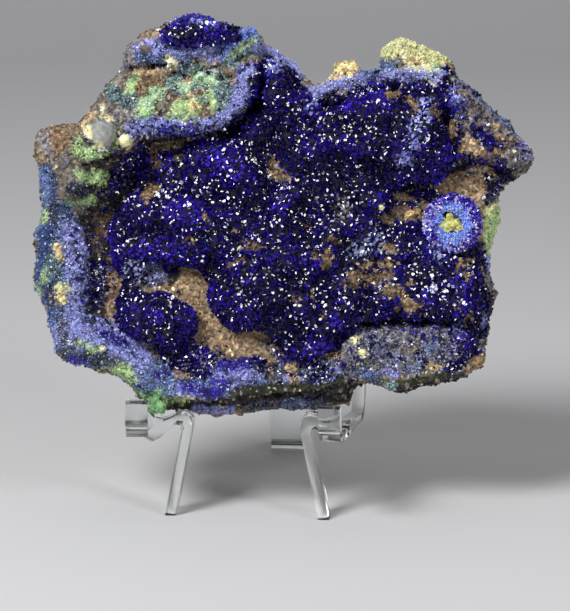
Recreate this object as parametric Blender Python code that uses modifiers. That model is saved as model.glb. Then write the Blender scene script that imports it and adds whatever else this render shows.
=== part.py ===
"""An azurite specimen on a small clear easel.

The stone is a broken slab of brown limonite rock. Its front is a shallow hollow with a raised rim, a thick ledge at
the upper left and a corner lump at the right. A druse of azurite crystals lines the hollow in rounded cushions, and a
second patch of azurite sits on the highest ledge. The easel is moulded from clear acrylic.

Everything is written in millimetres and made in metres. The stone is modelled in its own upright frame: u runs to the
right, v up from its lowest point, and depth towards the viewer from the middle of the slab. It is then leaned back.
"""

import math
import random

import bmesh
import bpy
from mathutils import Euler, Matrix, Vector, noise

MM = 0.001
# How far forward everything stands, so that the origin is under the middle of the whole
FORWARD = 12.75

# The stone as it stands
LEAN_DEG = 12.0
STONE_FOOT_HEIGHT = 13.6
VOXEL = 0.95
MATRIX_TRIANGLES = 4500
BACK_DEPTH = -8.0
FLOOR_DEPTH = 2.0
GAP = 0.3
# The rock's roughness: the height of its lumps and how many lie in a millimetre, and how near the floor it fades out
BROAD_HEIGHT, BROAD_RATE = 1.0, 0.13
FINE_HEIGHT, FINE_RATE = 0.42, 0.42
ROUGH_FROM_FLOOR = 1.6
# The slab's seam, the front of its back layer and of the strip under its rim, and the fronts of its raised parts
SLAB_BACK, BACK_SLAB_FRONT, FOOT_STRIP_FRONT = -5.0, -4.0, -1.0
LEDGE_DEPTH, LEDGE_SLOPE, LEDGE_BACK_DEPTH = 10.2, 0.16, 4.6
LEFT_RIM_DEPTH, BOTTOM_RIM_DEPTH, TOP_RIM_DEPTH, RIGHT_CORNER_DEPTH = 5.2, 5.0, 4.2, 6.2

# The druse
CRUST_VOXEL = 1.55
# How far its sheet reaches into the rock and out of its floor
SHEET_ROOT, SHEET_TOP = 2.0, 1.4
# Square faces of the druse that grow a point: the least they face the viewer, and their size in voxels
LEAST_FACING = 0.25
SQUARE_SIZES = (0.35, 2.2)
# A crystal's height and lean, as shares of the voxel
CRYSTAL_HEIGHT = (0.2, 0.62)
CRYSTAL_LEAN = 0.26
CAP_VOXEL = 1.0
MOST_DEPTH = 30.0
GRID_TURN = (0.35, 0.62, 0.28)

# The easel
STRIP = 1.3
EASEL_CENTRE_X = -5.9
EASEL_YAW_DEG = -6.0
BEND_RADIUS = 1.6
BEND_STEPS = 4
# Its front legs, each with its wavy arm out to a hook, as outlines of (x, z)
LEFT_LEG = [
    (-15.0, 15.3), (-13.6, 15.3), (-12.3, 14.6), (-11.2, 13.4), (-10.2, 13.0), (-9.2, 13.4), (-8.3, 13.9),
    (-7.4, 14.1), (-6.5, 13.8), (-6.1, 13.1), (-6.2, 12.0), (-8.5, 0.0), (-9.9, 0.0), (-7.6, 11.8),
    (-7.8, 12.6), (-8.5, 12.6), (-9.4, 11.8), (-10.4, 10.8), (-11.6, 10.2), (-12.8, 10.9), (-13.8, 11.9),
    (-14.8, 11.4), (-15.3, 12.4),
]
RIGHT_LEG = [
    (8.4, 13.3), (8.8, 14.0), (9.6, 14.3), (10.5, 14.2), (11.3, 13.4), (12.4, 12.9), (13.8, 13.2),
    (15.0, 13.4), (15.0, 11.4), (13.6, 10.8), (12.4, 10.9), (11.2, 11.7), (10.4, 12.4), (9.8, 12.2),
    (9.7, 11.6), (12.3, 0.0), (10.8, 0.0), (8.5, 11.6),
]
LEG_WIDTH, LEG_Y = 3.0, -1.4
# Its hooks, as (y, z) of the middle line: over the lip, along the seat and up the riser
HOOK = [(-8.3, 16.9), (-7.6, 12.5), (11.6, 11.0), (17.7, 40.2)]
HOOK_X, HOOK_SPREAD_DEG, HOOK_WIDTH = 13.7, 6.3, 2.9
# The hook narrows to this share of its width, from one y to the other
RISER_SHARE = 0.55
NARROWS_FROM, NARROWS_TO = -2.0, 8.0
CROSS_BAR_Y, CROSS_BAR_Z, CROSS_BAR_WIDTH, CROSS_BAR_REACH = 18.1, 38.2, 3.0, 16.3
# Its prop, down to a flat foot behind
PROP = [(16.5, 34.6), (18.3, 43.0), (20.3, 43.0), (32.0, STRIP / 2), (36.0, STRIP / 2)]
PROP_WIDTH, PROP_X = 5.2, 3.4

# Outlines, as (u, v) in millimetres
SLAB = [
    (-15.2, 51.8), (-13.4, 52.9), (-10.3, 52.8), (-7.5, 51.4), (-3.6, 50.7), (-2.9, 49.3), (-0.8, 48.9),
    (1.2, 47.3), (2.7, 45.6), (3.8, 43.2), (6.0, 44.4), (9.5, 45.6), (12.7, 46.2), (17.0, 46.4), (21.9, 46.0),
    (25.9, 42.8), (29.0, 39.4), (31.3, 37.1), (32.8, 35.0), (33.0, 33.7), (31.3, 32.1), (29.4, 30.7),
    (28.2, 28.5), (28.0, 25.5), (27.4, 22.0), (27.2, 18.0), (27.3, 14.0), (26.9, 10.8), (26.1, 7.2),
    (24.2, 5.0), (19.9, 4.3), (14.9, 3.6), (10.3, 4.3), (6.1, 2.9), (2.1, 2.3), (-3.2, 1.9), (-7.9, 1.9),
    (-12.5, 2.2), (-17.9, 2.8), (-20.1, 3.9), (-21.9, 5.7), (-25.1, 6.3), (-28.3, 7.1), (-30.0, 8.4),
    (-30.8, 11.4), (-31.8, 15.0), (-33.0, 18.0), (-32.5, 21.4), (-33.0, 23.3), (-32.6, 26.4), (-32.6, 31.5),
    (-32.3, 37.3), (-31.3, 38.3), (-29.7, 38.1), (-27.4, 38.9), (-25.6, 40.9), (-23.3, 44.1), (-21.4, 45.9),
    (-20.7, 48.9), (-19.3, 50.3), (-16.8, 51.3),
]
BACK_SLAB = [
    (-14.0, 49.5), (-7.0, 49.0), (0.0, 45.0), (4.0, 42.0), (12.0, 44.0), (20.0, 44.0), (27.0, 38.5),
    (30.5, 33.5), (27.0, 28.0), (26.0, 16.0), (24.5, 8.0), (14.0, 5.0), (2.0, 2.4), (-14.0, 2.6),
    (-22.0, 7.5), (-28.5, 10.0), (-31.0, 18.0), (-30.5, 30.0), (-29.5, 36.0), (-22.0, 42.0), (-19.0, 47.5),
]
FOOT_STRIP = [
    (-15.6, 4.0), (-15.2, 1.1), (-11.3, 0.5), (-5.8, 0.1), (-1.2, 0.7), (4.3, 1.0), (9.4, 1.1), (9.6, 5.5),
]
LEDGE = [
    (-32.3, 37.3), (-31.3, 38.3), (-29.7, 38.1), (-27.4, 38.9), (-25.6, 40.9), (-23.3, 44.1), (-21.8, 45.4),
    (-16.5, 45.4), (-11.0, 45.5), (-6.2, 45.9), (-3.8, 47.0), (-3.6, 44.5), (-5.2, 40.8), (-8.4, 38.2),
    (-13.0, 37.1), (-17.6, 37.0), (-20.2, 35.6), (-24.6, 33.4), (-27.2, 30.6), (-29.4, 28.2), (-31.9, 28.4),
]
TOP_BAND = [
    (-20.9, 47.0), (-20.7, 48.9), (-19.3, 50.3), (-16.8, 51.3), (-15.2, 51.8), (-13.4, 52.9), (-10.3, 52.8),
    (-7.5, 51.4), (-3.6, 50.7), (-3.0, 49.8), (-4.4, 48.7), (-7.0, 47.7), (-11.5, 47.2), (-16.5, 47.1),
]
LEFT_RIM = [
    (-31.9, 30.0), (-28.2, 29.6), (-26.6, 24.0), (-26.1, 18.0), (-26.6, 12.6), (-24.2, 10.6), (-21.0, 8.6),
    (-17.6, 6.6), (-18.2, 3.0), (-20.1, 3.9), (-21.9, 5.7), (-25.1, 6.3), (-28.3, 7.1), (-30.0, 8.4),
    (-30.8, 11.4), (-31.8, 15.0), (-33.0, 18.0), (-32.5, 21.4), (-33.0, 23.3), (-32.6, 26.4),
]
BOTTOM_RIM = [
    (-19.0, 7.6), (-15.0, 6.2), (-9.2, 7.4), (-5.2, 6.2), (0.8, 5.4), (7.0, 6.6), (9.0, 10.4), (13.0, 11.6),
    (19.5, 11.8), (23.6, 10.8), (25.4, 9.4), (26.0, 7.0), (24.2, 5.0), (19.9, 4.3), (14.9, 3.6), (10.3, 4.3),
    (6.1, 2.9), (2.1, 2.3), (-3.2, 1.9), (-7.9, 1.9), (-12.5, 2.2), (-17.9, 2.8), (-19.4, 4.4),
]
TOP_RIM = [
    (3.9, 43.3), (6.0, 44.4), (9.5, 45.6), (12.7, 46.2), (17.0, 46.4), (21.9, 46.0), (22.6, 44.6),
    (17.0, 44.8), (12.5, 44.5), (9.0, 43.9), (6.0, 42.6), (4.2, 41.6),
]
RIGHT_CORNER = [
    (23.6, 44.6), (25.9, 42.8), (29.0, 39.4), (31.3, 37.1), (32.8, 35.0), (33.0, 33.7), (31.3, 32.6),
    (27.4, 33.0), (24.6, 34.6), (23.0, 38.0), (22.4, 42.0),
]
CRUST = [
    (-2.3, 46.6), (-1.4, 47.4), (0.8, 46.2), (1.8, 44.4), (2.8, 41.8), (4.4, 39.9), (6.8, 41.2), (10.0, 42.5),
    (14.0, 43.2), (18.6, 43.3), (20.8, 43.0), (21.0, 39.6), (21.5, 36.2), (22.4, 33.8), (20.6, 32.0),
    (14.6, 29.8), (13.6, 26.8), (16.0, 25.4), (19.0, 25.6), (20.4, 24.4), (24.0, 23.8), (26.3, 22.8),
    (26.3, 17.0), (25.9, 12.6), (24.2, 12.2), (19.5, 13.0), (13.0, 12.8), (8.2, 11.6), (5.8, 8.0), (1.4, 6.8),
    (-0.6, 8.6), (-2.2, 10.8), (-5.2, 11.6), (-8.2, 12.2), (-9.4, 14.4), (-9.4, 17.4), (-10.8, 19.6),
    (-13.2, 20.2), (-15.0, 18.4), (-16.2, 20.4), (-19.2, 20.2), (-19.2, 16.8), (-15.8, 16.0), (-13.4, 14.4),
    (-11.8, 11.8), (-11.5, 10.3), (-12.8, 9.2), (-15.6, 9.0), (-18.6, 10.0), (-21.4, 11.2), (-22.6, 13.6),
    (-22.4, 17.0), (-22.4, 20.0), (-22.6, 22.6), (-22.4, 25.6), (-19.8, 28.6), (-21.0, 31.6), (-20.0, 34.4),
    (-16.6, 35.0), (-12.6, 35.4), (-8.0, 36.2), (-3.6, 39.2), (-1.9, 43.4),
]
CAP = [
    (-16.2, 49.6), (-15.0, 51.0), (-13.2, 52.0), (-10.6, 51.9), (-7.8, 50.6), (-5.6, 49.9), (-8.0, 49.2),
    (-11.6, 48.6), (-14.4, 48.8),
]

# Lumps of the rock: (u, v, depth) of the centre, then the half sizes along u, v and depth
LUMPS = [
    ((8.4, 45.4, -3.0), (2.9, 1.6, 2.4)),
    ((15.6, 47.9, -3.4), (3.0, 2.7, 2.8)),
    ((19.4, 46.6, -3.4), (3.4, 2.2, 2.6)),
    ((28.3, 26.6, -4.0), (1.2, 2.8, 2.4)),
    ((27.8, 16.4, -2.0), (0.9, 1.2, 1.8)),
    ((-17.0, 2.0, 0.4), (1.3, 1.9, 2.2)),
    ((-18.8, 3.6, 0.6), (1.6, 1.6, 2.4)),
    ((-30.4, 36.2, 3.6), (2.2, 2.4, 4.6)),
    ((-25.2, 37.0, 8.2), (2.9, 2.6, 3.0)),
    ((-31.9, 17.6, 1.0), (1.4, 1.6, 2.6)),
    ((-32.0, 23.2, 0.6), (1.3, 1.5, 2.6)),
    ((-8.0, 2.9, 3.0), (5.4, 1.6, 4.2)),
    ((-4.0, 28.0, -6.0), (19.0, 16.0, 3.6)),
    ((-19.0, 20.0, -5.4), (11.0, 12.0, 3.8)),
    ((15.0, 30.0, -5.6), (12.0, 11.0, 3.6)),
    ((9.0, 12.0, -5.2), (14.0, 8.0, 3.6)),
    ((-12.0, 42.0, -5.0), (8.0, 7.0, 3.8)),
]
# Cushions of azurite, in the same form, their centres on the hollow's floor
CUSHIONS = [
    ((-14.5, 25.4, FLOOR_DEPTH), (8.6, 5.6, 4.4)),
    ((-17.0, 12.8, FLOOR_DEPTH), (5.6, 4.8, 3.4)),
    ((-3.4, 16.4, FLOOR_DEPTH), (7.8, 7.0, 4.6)),
    ((-8.0, 33.6, FLOOR_DEPTH), (9.0, 5.6, 4.0)),
    ((-0.6, 42.6, FLOOR_DEPTH), (4.6, 6.4, 6.4)),
    ((5.0, 34.6, FLOOR_DEPTH), (9.0, 8.4, 4.8)),
    ((14.6, 38.4, FLOOR_DEPTH), (10.4, 7.6, 6.8)),
    ((4.0, 25.0, FLOOR_DEPTH), (9.6, 7.6, 4.4)),
    ((12.6, 22.4, FLOOR_DEPTH), (7.6, 6.6, 3.0)),
    ((20.4, 16.6, FLOOR_DEPTH), (7.0, 6.0, 4.2)),
    ((8.6, 13.8, FLOOR_DEPTH), (7.4, 5.4, 3.6)),
    ((-6.0, 24.0, FLOOR_DEPTH), (7.0, 6.0, 3.4)),
]
CAP_FLOOR = 8.4
CAP_CUSHIONS = [
    ((-12.4, 50.4, CAP_FLOOR), (4.6, 2.2, 1.9)),
    ((-8.4, 49.8, CAP_FLOOR), (3.4, 1.6, 1.6)),
]
# The broken azurite ball at the right of the druse: its centre, then (radius, depth) down its side and into its pit
BALL_AT = (22.4, 25.6)
BALL_PROFILE = [
    (3.3, 2.3), (3.55, 3.6), (3.3, 4.8), (2.5, 5.6), (1.5, 5.6), (0.8, 4.9),
]
BALL_PIT_DEPTH = 4.6
BALL_SIDES = 18


def local(u, v, depth):
    """A point of the stone's own frame, in metres."""
    return Vector((u * MM, -depth * MM, v * MM))


def clear_scene():
    for obj in list(bpy.data.objects):
        bpy.data.objects.remove(obj, do_unlink=True)


def new_collection(name):
    made = bpy.data.collections.new(name)
    bpy.context.scene.collection.children.link(made)
    return made


def move_to(obj, collection):
    for held in list(obj.users_collection):
        held.objects.unlink(obj)
    collection.objects.link(obj)


def finish_material(name, colour, roughness, transmission=0.0):
    """A Principled material with the piece's own colour."""
    made = bpy.data.materials.new(name)
    made.use_nodes = True
    shader = made.node_tree.nodes["Principled BSDF"]
    shader.inputs["Base Color"].default_value = (*colour, 1.0)
    shader.inputs["Roughness"].default_value = roughness
    shader.inputs["Metallic"].default_value = 0.0
    shader.inputs["Transmission Weight"].default_value = transmission
    made.diffuse_color = (*colour, 1.0)
    return made


def as_mesh(obj, name):
    """A mesh object with the evaluated shape of obj, its place in its vertices, and obj removed."""
    bpy.context.view_layer.update()
    shape = obj.evaluated_get(bpy.context.evaluated_depsgraph_get())
    mesh = bpy.data.meshes.new_from_object(shape)
    mesh.transform(obj.matrix_world)
    made = bpy.data.objects.new(name, mesh)
    bpy.context.scene.collection.objects.link(made)
    bpy.data.objects.remove(obj, do_unlink=True)
    weld(made)
    return made


def weld(obj):
    """Joins a curve's loose caps to its sides, and turns every face outwards."""
    work = bmesh.new()
    work.from_mesh(obj.data)
    bmesh.ops.remove_doubles(work, verts=work.verts, dist=1e-6)
    bmesh.ops.recalc_face_normals(work, faces=work.faces)
    work.to_mesh(obj.data)
    work.free()


def plate(name, outline, back, front, slope=0.0):
    """A flat piece of the given outline between two depths. slope sinks its front by that share of the height."""
    curve = bpy.data.curves.new(name, "CURVE")
    curve.dimensions = "2D"
    curve.fill_mode = "BOTH"
    curve.extrude = (front - back) / 2 * MM
    line = curve.splines.new("POLY")
    line.points.add(len(outline) - 1)
    for point, (u, v) in zip(line.points, outline):
        point.co = (u * MM, v * MM, 0.0, 1.0)
    line.use_cyclic_u = True
    obj = bpy.data.objects.new(name, curve)
    bpy.context.scene.collection.objects.link(obj)
    obj.rotation_euler.x = math.radians(90)
    obj.location = local(0.0, 0.0, (front + back) / 2)
    made = as_mesh(obj, name)
    lowest = min(v for _, v in outline) * MM
    middle = -(front + back) / 2 * MM
    for vertex in made.data.vertices:
        if vertex.co.y < middle:
            vertex.co.y += slope * (vertex.co.z - lowest)
    return made


def lump(name, centre, half_sizes):
    """A rounded mass: a sphere of the given half sizes along u, v and depth."""
    mesh = bpy.data.meshes.new(name)
    work = bmesh.new()
    bmesh.ops.create_icosphere(work, subdivisions=4, radius=1.0)
    along_u, along_v, along_depth = (size * MM for size in half_sizes)
    bmesh.ops.scale(work, verts=work.verts, vec=(along_u, along_depth, along_v))
    bmesh.ops.translate(work, verts=work.verts, vec=local(*centre))
    work.to_mesh(mesh)
    work.free()
    obj = bpy.data.objects.new(name, mesh)
    bpy.context.scene.collection.objects.link(obj)
    return obj


def fuse(name, pieces, voxel, smoothing):
    """The pieces joined into one closed skin of even quads on a turned grid, its corners softened."""
    turn = Euler(GRID_TURN).to_matrix().to_4x4()
    work = bmesh.new()
    for piece in pieces:
        work.from_mesh(piece.data)
        bpy.data.objects.remove(piece, do_unlink=True)
    work.transform(turn)
    mesh = bpy.data.meshes.new(name)
    work.to_mesh(mesh)
    work.free()
    obj = bpy.data.objects.new(name, mesh)
    bpy.context.scene.collection.objects.link(obj)
    remesh = obj.modifiers.new("Skin", "REMESH")
    remesh.mode = "VOXEL"
    remesh.voxel_size = voxel * MM
    soften = obj.modifiers.new("Soften", "SMOOTH")
    soften.factor = 0.5
    soften.iterations = smoothing
    skin = as_mesh(obj, name)
    skin.data.transform(turn.inverted())
    return skin


def cut_with(obj, other, operation, name):
    """The Boolean of two mesh objects, with the second one removed."""
    step = obj.modifiers.new(operation, "BOOLEAN")
    step.operation = operation
    step.object = other
    made = as_mesh(obj, name)
    bpy.data.objects.remove(other, do_unlink=True)
    return made


def roughen(obj, floor):
    """Broken rock: broad and fine lumps along each normal, fading out on the hollow's flat floor."""
    vertices = obj.data.vertices
    moves = []
    for vertex in vertices:
        place = vertex.co / MM
        off_floor = min(1.0, abs(-place.y - floor) / ROUGH_FROM_FLOOR)
        lift = BROAD_HEIGHT * noise.noise(place * BROAD_RATE) + FINE_HEIGHT * noise.noise(place * FINE_RATE)
        moves.append(vertex.normal * (lift * off_floor * MM))
    for vertex, move in zip(vertices, moves):
        vertex.co += move


def thin_out(obj, triangles, name):
    """The same shape in about the given number of triangles."""
    now = sum(len(face.vertices) - 2 for face in obj.data.polygons)
    step = obj.modifiers.new("Fewer faces", "DECIMATE")
    step.ratio = min(1.0, triangles / now)
    return as_mesh(obj, name)


def grow_crystals(obj, voxel, seed):
    """Raises a leaning flat-sided point on each square face of the druse that looks outwards."""
    chance = random.Random(seed)
    work = bmesh.new()
    work.from_mesh(obj.data)
    work.normal_update()
    side = voxel * MM
    least, most = SQUARE_SIZES
    squares = [
        face
        for face in work.faces
        if len(face.verts) == 4 and -face.normal.y > LEAST_FACING and least < face.calc_area() / side**2 < most
    ]
    for face in squares:
        normal = face.normal.copy()
        tip = bmesh.ops.poke(work, faces=[face])["verts"][0]
        aside = Vector([chance.uniform(-1, 1) for _ in range(3)])
        aside -= normal * aside.dot(normal)
        tip.co += normal * (chance.uniform(*CRYSTAL_HEIGHT) * side) + aside * (CRYSTAL_LEAN * side)
    work.to_mesh(obj.data)
    work.free()


def make_matrix():
    """The host rock, fused from its plates and lumps."""
    back_of_ledge = [*LEDGE[:7], *reversed(TOP_BAND[6:]), *LEDGE[10:]]
    pieces = [
        plate("slab", SLAB, SLAB_BACK, FLOOR_DEPTH),
        plate("back slab", BACK_SLAB, BACK_DEPTH, BACK_SLAB_FRONT),
        plate("foot strip", FOOT_STRIP, BACK_DEPTH, FOOT_STRIP_FRONT),
        plate("ledge", LEDGE, 0.0, LEDGE_DEPTH, slope=LEDGE_SLOPE),
        plate("ledge back", back_of_ledge, 0.0, LEDGE_BACK_DEPTH),
        plate("top band", TOP_BAND, 0.0, CAP_FLOOR),
        plate("left rim", LEFT_RIM, 0.0, LEFT_RIM_DEPTH),
        plate("bottom rim", BOTTOM_RIM, 0.0, BOTTOM_RIM_DEPTH),
        plate("top rim", TOP_RIM, 0.0, TOP_RIM_DEPTH),
        plate("right corner", RIGHT_CORNER, 0.0, RIGHT_CORNER_DEPTH),
    ]
    pieces += [lump("lump", *each) for each in LUMPS]
    rock = fuse("matrix", pieces, VOXEL, smoothing=2)
    roughen(rock, FLOOR_DEPTH)
    return thin_out(rock, MATRIX_TRIANGLES, "matrix")


def make_druse(name, outline, floor, cushions, voxel, seed):
    """Rounded cushions of crystals inside an outline, lying just clear of the rock's floor."""
    sheet = plate("sheet", outline, floor - SHEET_ROOT, floor + SHEET_TOP)
    mounds = [lump("cushion", *each) for each in cushions]
    skin = fuse(name, [sheet, *mounds], voxel, smoothing=2)
    edge = plate("edge", outline, floor + GAP, MOST_DEPTH)
    druse = cut_with(skin, edge, "INTERSECT", name)
    grow_crystals(druse, voxel, seed)
    return druse


def make_ball():
    """The broken azurite ball: a turned side and a pit, closed at the axis."""
    mesh = bpy.data.meshes.new("ball")
    work = bmesh.new()
    deepest = (0.0, BALL_PIT_DEPTH)
    base = (0.0, BALL_PROFILE[0][1])
    line = [work.verts.new((r * MM, 0.0, depth * MM)) for r, depth in [deepest, *reversed(BALL_PROFILE), base]]
    for a, b in zip(line, line[1:]):
        work.edges.new((a, b))
    work.to_mesh(mesh)
    work.free()
    obj = bpy.data.objects.new("ball", mesh)
    bpy.context.scene.collection.objects.link(obj)
    turn = obj.modifiers.new("Turn", "SCREW")
    turn.steps = BALL_SIDES
    turn.render_steps = BALL_SIDES
    turn.use_merge_vertices = True
    turn.merge_threshold = 1e-5
    obj.rotation_euler.x = math.radians(90)
    obj.location = local(*BALL_AT, 0.0)
    return as_mesh(obj, "ball")


def rounded(points, radius=BEND_RADIUS, steps=BEND_STEPS):
    """The line through the points, with each inner corner turned into an arc of the given radius."""
    points = [Vector(p) for p in points]
    line = [points[0]]
    for before, corner, after in zip(points, points[1:], points[2:]):
        inwards, outwards = (before - corner).normalized(), (after - corner).normalized()
        half = math.acos(max(-1.0, min(1.0, inwards.dot(outwards)))) / 2
        cut = min(radius / math.tan(half), 0.45 * (before - corner).length, 0.45 * (after - corner).length)
        start, end = corner + inwards * cut, corner + outwards * cut
        for step in range(steps + 1):
            t = step / steps
            line.append(start * (1 - t) ** 2 + corner * 2 * t * (1 - t) + end * t**2)
    return [*line, points[-1]]


def strip(name, points, width, side_on, offset=0.0):
    """A bent strip of the easel. points are its middle line, (y, z) for a side_on strip and (x, z) for one that
    faces the front. width runs across that plane, and offset is the strip's place along it.
    """
    curve = bpy.data.curves.new(name, "CURVE")
    curve.dimensions = "2D"
    curve.fill_mode = "NONE"
    curve.extrude = width / 2 * MM
    line = curve.splines.new("POLY")
    places = rounded(points)
    line.points.add(len(places) - 1)
    for point, place in zip(line.points, places):
        point.co = (place.x * MM, place.y * MM, 0.0, 1.0)
    obj = bpy.data.objects.new(name, curve)
    bpy.context.scene.collection.objects.link(obj)
    obj.rotation_euler = (math.radians(90), 0.0, math.radians(90) if side_on else 0.0)
    obj.location = Vector((offset, 0.0, 0.0) if side_on else (0.0, offset, 0.0)) * MM
    ribbon = as_mesh(obj, name)
    wall = ribbon.modifiers.new("Wall", "SOLIDIFY")
    wall.thickness = STRIP * MM
    wall.offset = 0.0
    wall.use_even_offset = True
    return as_mesh(ribbon, name)


def make_hook(side):
    """One hook of the easel: lip, seat and riser, narrower towards the back and spread outwards there."""
    hook = strip("hook", HOOK, HOOK_WIDTH, side_on=True)
    for vertex in hook.data.vertices:
        behind = (vertex.co.y / MM - NARROWS_FROM) / (NARROWS_TO - NARROWS_FROM)
        vertex.co.x *= 1.0 - (1.0 - RISER_SHARE) * min(1.0, max(0.0, behind))
    spread = Matrix.Rotation(-side * math.radians(HOOK_SPREAD_DEG), 4, "Z")
    hook.data.transform(Matrix.Translation((side * HOOK_X * MM, 0.0, 0.0)) @ spread)
    return hook


def make_easel():
    """The clear stand: two front legs with arms, two hooks with risers, a cross bar and a prop."""
    back, front = -LEG_Y - LEG_WIDTH / 2, -LEG_Y + LEG_WIDTH / 2
    bar = [(-CROSS_BAR_REACH, CROSS_BAR_Z), (CROSS_BAR_REACH, CROSS_BAR_Z)]
    easel = strip("cross bar", bar, CROSS_BAR_WIDTH, side_on=False, offset=CROSS_BAR_Y)
    parts = [
        make_hook(-1),
        make_hook(1),
        plate("left leg", LEFT_LEG, back, front),
        plate("right leg", RIGHT_LEG, back, front),
        strip("prop", PROP, PROP_WIDTH, side_on=True, offset=PROP_X),
    ]
    for part in parts:
        easel = cut_with(easel, part, "UNION", "clear_easel")
    return easel


def place(obj, name, parent, collection, material):
    obj.name = name
    obj.data.name = name
    obj.parent = parent
    obj.data.materials.clear()
    obj.data.materials.append(material)
    for face in obj.data.polygons:
        face.use_smooth = False
    move_to(obj, collection)


def main():
    clear_scene()
    specimen = new_collection("azurite specimen")

    stone = bpy.data.objects.new("stone", None)
    stone.rotation_euler.x = -math.radians(LEAN_DEG)
    stone.location = (0.0, -FORWARD * MM, STONE_FOOT_HEIGHT * MM)
    specimen.objects.link(stone)
    stand = bpy.data.objects.new("stand", None)
    stand.rotation_euler.z = math.radians(EASEL_YAW_DEG)
    stand.location = (EASEL_CENTRE_X * MM, -FORWARD * MM, 0.0)
    specimen.objects.link(stand)

    limonite = finish_material("limonite", (0.30, 0.20, 0.12), 0.85)
    druse_azurite = finish_material("druse azurite", (0.035, 0.02, 0.30), 0.25)
    cap_azurite = finish_material("cap azurite", (0.03, 0.02, 0.24), 0.25)
    acrylic = finish_material("clear acrylic", (0.92, 0.95, 0.96), 0.05, transmission=1.0)

    crust = make_druse("azurite_crust", CRUST, FLOOR_DEPTH, CUSHIONS, CRUST_VOXEL, seed=3)
    crust = cut_with(crust, make_ball(), "UNION", "azurite_crust")
    cap = make_druse("azurite_cap", CAP, CAP_FLOOR + GAP, CAP_CUSHIONS, CAP_VOXEL, seed=5)
    rock = make_matrix()
    easel = make_easel()
    place(rock, "matrix", stone, specimen, limonite)
    place(crust, "azurite_crust", stone, specimen, druse_azurite)
    place(cap, "azurite_cap", stone, specimen, cap_azurite)
    place(easel, "clear_easel", stand, specimen, acrylic)


main()
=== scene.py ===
import math

import bpy
import numpy as np
from bpy.props import FloatProperty, FloatVectorProperty, IntProperty, PointerProperty
from bpy.types import Operator, Panel, PropertyGroup
from mathutils import Matrix, Vector, noise
from mathutils.bvhtree import BVHTree


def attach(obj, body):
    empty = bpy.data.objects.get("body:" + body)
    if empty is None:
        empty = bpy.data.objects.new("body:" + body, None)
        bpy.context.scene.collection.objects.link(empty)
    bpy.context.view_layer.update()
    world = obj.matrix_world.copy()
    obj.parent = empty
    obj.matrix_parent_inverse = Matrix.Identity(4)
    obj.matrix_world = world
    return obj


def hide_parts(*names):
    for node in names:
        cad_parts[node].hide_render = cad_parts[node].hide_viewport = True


bl_info = {
    "name": "Azurite Specimen",
    "version": (1, 0, 0),
    "blender": (4, 5, 0),
    "location": "View3D > Sidebar > Specimen",
    "description": "Dresses an azurite specimen and its clear easel",
    "category": "Add Mesh",
}

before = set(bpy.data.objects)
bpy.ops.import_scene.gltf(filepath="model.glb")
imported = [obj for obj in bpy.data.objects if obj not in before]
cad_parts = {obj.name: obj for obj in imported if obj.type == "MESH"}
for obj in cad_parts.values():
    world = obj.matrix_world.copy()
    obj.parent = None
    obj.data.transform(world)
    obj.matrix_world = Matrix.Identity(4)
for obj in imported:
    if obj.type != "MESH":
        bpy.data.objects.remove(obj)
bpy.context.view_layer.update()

MM = 0.001
BODY = "root"

# The stone's own frame, leaned back as it stands: u to the right, v up, depth towards the viewer (all in mm)
LEAN = math.radians(12.0)
STONE_AT = Vector((0.0, -12.75, 13.6)) * MM
HOLLOW_FLOOR = 2.0
# The eye in front of the stone: the middle of its view, its depth, and the depth that it sees at true scale
VIEW_MIDDLE = (0.13, 14.6)
EYE_DEPTH = 422.0
TRUE_DEPTH = 3.3
STONE_MIDDLE = (0.0, 27.0, 3.0)

# Lumps of the stone's relief, in metres
BREAK_LUMPS = 0.0022
KNOB_LUMPS = 0.0013
FINE_LUMPS = 0.0006
CORE_LUMPS = 0.0008

# Lumps of the finishes' patterns, in metres
ROCK_GRIT = 0.00022
ROCK_GRAINS = 0.00034
ROCK_CLOUDS = 0.0009
CRYSTAL_CLOUDS = 0.0005
CRYSTAL_WEAR = 0.0003
ACRYLIC_SCUFFS = 0.0012

# Shares of the bright faces turned to the key light, of dull grains in the strewn azurite, of creamy crumbs
KEY_SHARE = 0.65
SOOTY_SHARE = 0.45
CREAMY_SHARE = 0.07
# The largest that a crystal's width may be, against the usual width
WIDEST = 1.7

# Where the crystals are parted along u, so that no piece grows too large
OUTSIDE = 99.0
WHOLE = (-OUTSIDE, OUTSIDE)
DRUSE_PARTS = (-OUTSIDE, -9.0, 3.5, 14.0, OUTSIDE)
COATING_PARTS = (-OUTSIDE, -20.0, OUTSIDE)

BALL_AT = (22.4, 25.5)
BALL_SPOKES = 72
# The ring ball's profile, from its foot to its middle: radius and depth
BALL_RINGS = [
    (3.2, 2.4), (3.5, 3.2), (3.6, 4.0), (3.5, 4.7), (3.25, 5.2), (2.95, 5.5), (2.6, 5.7), (2.25, 5.75),
    (1.9, 5.65), (1.6, 5.45), (1.35, 5.15), (1.1, 4.9), (0.8, 4.75), (0.4, 4.7),
]
# The lobes of its yellow middle: the offset in u and v, the depth, and the half sizes along u and v
CORE_LOBES = [
    (-0.25, 0.8, 5.0, 0.55, 0.6), (-1.3, -0.1, 5.0, 0.7, 0.65), (0.85, -0.6, 5.0, 0.8, 0.55),
    (-0.95, -0.85, 4.95, 0.7, 0.5), (-0.3, -0.15, 5.2, 1.0, 0.9), (0.35, 0.1, 5.1, 0.7, 0.7),
]
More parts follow.
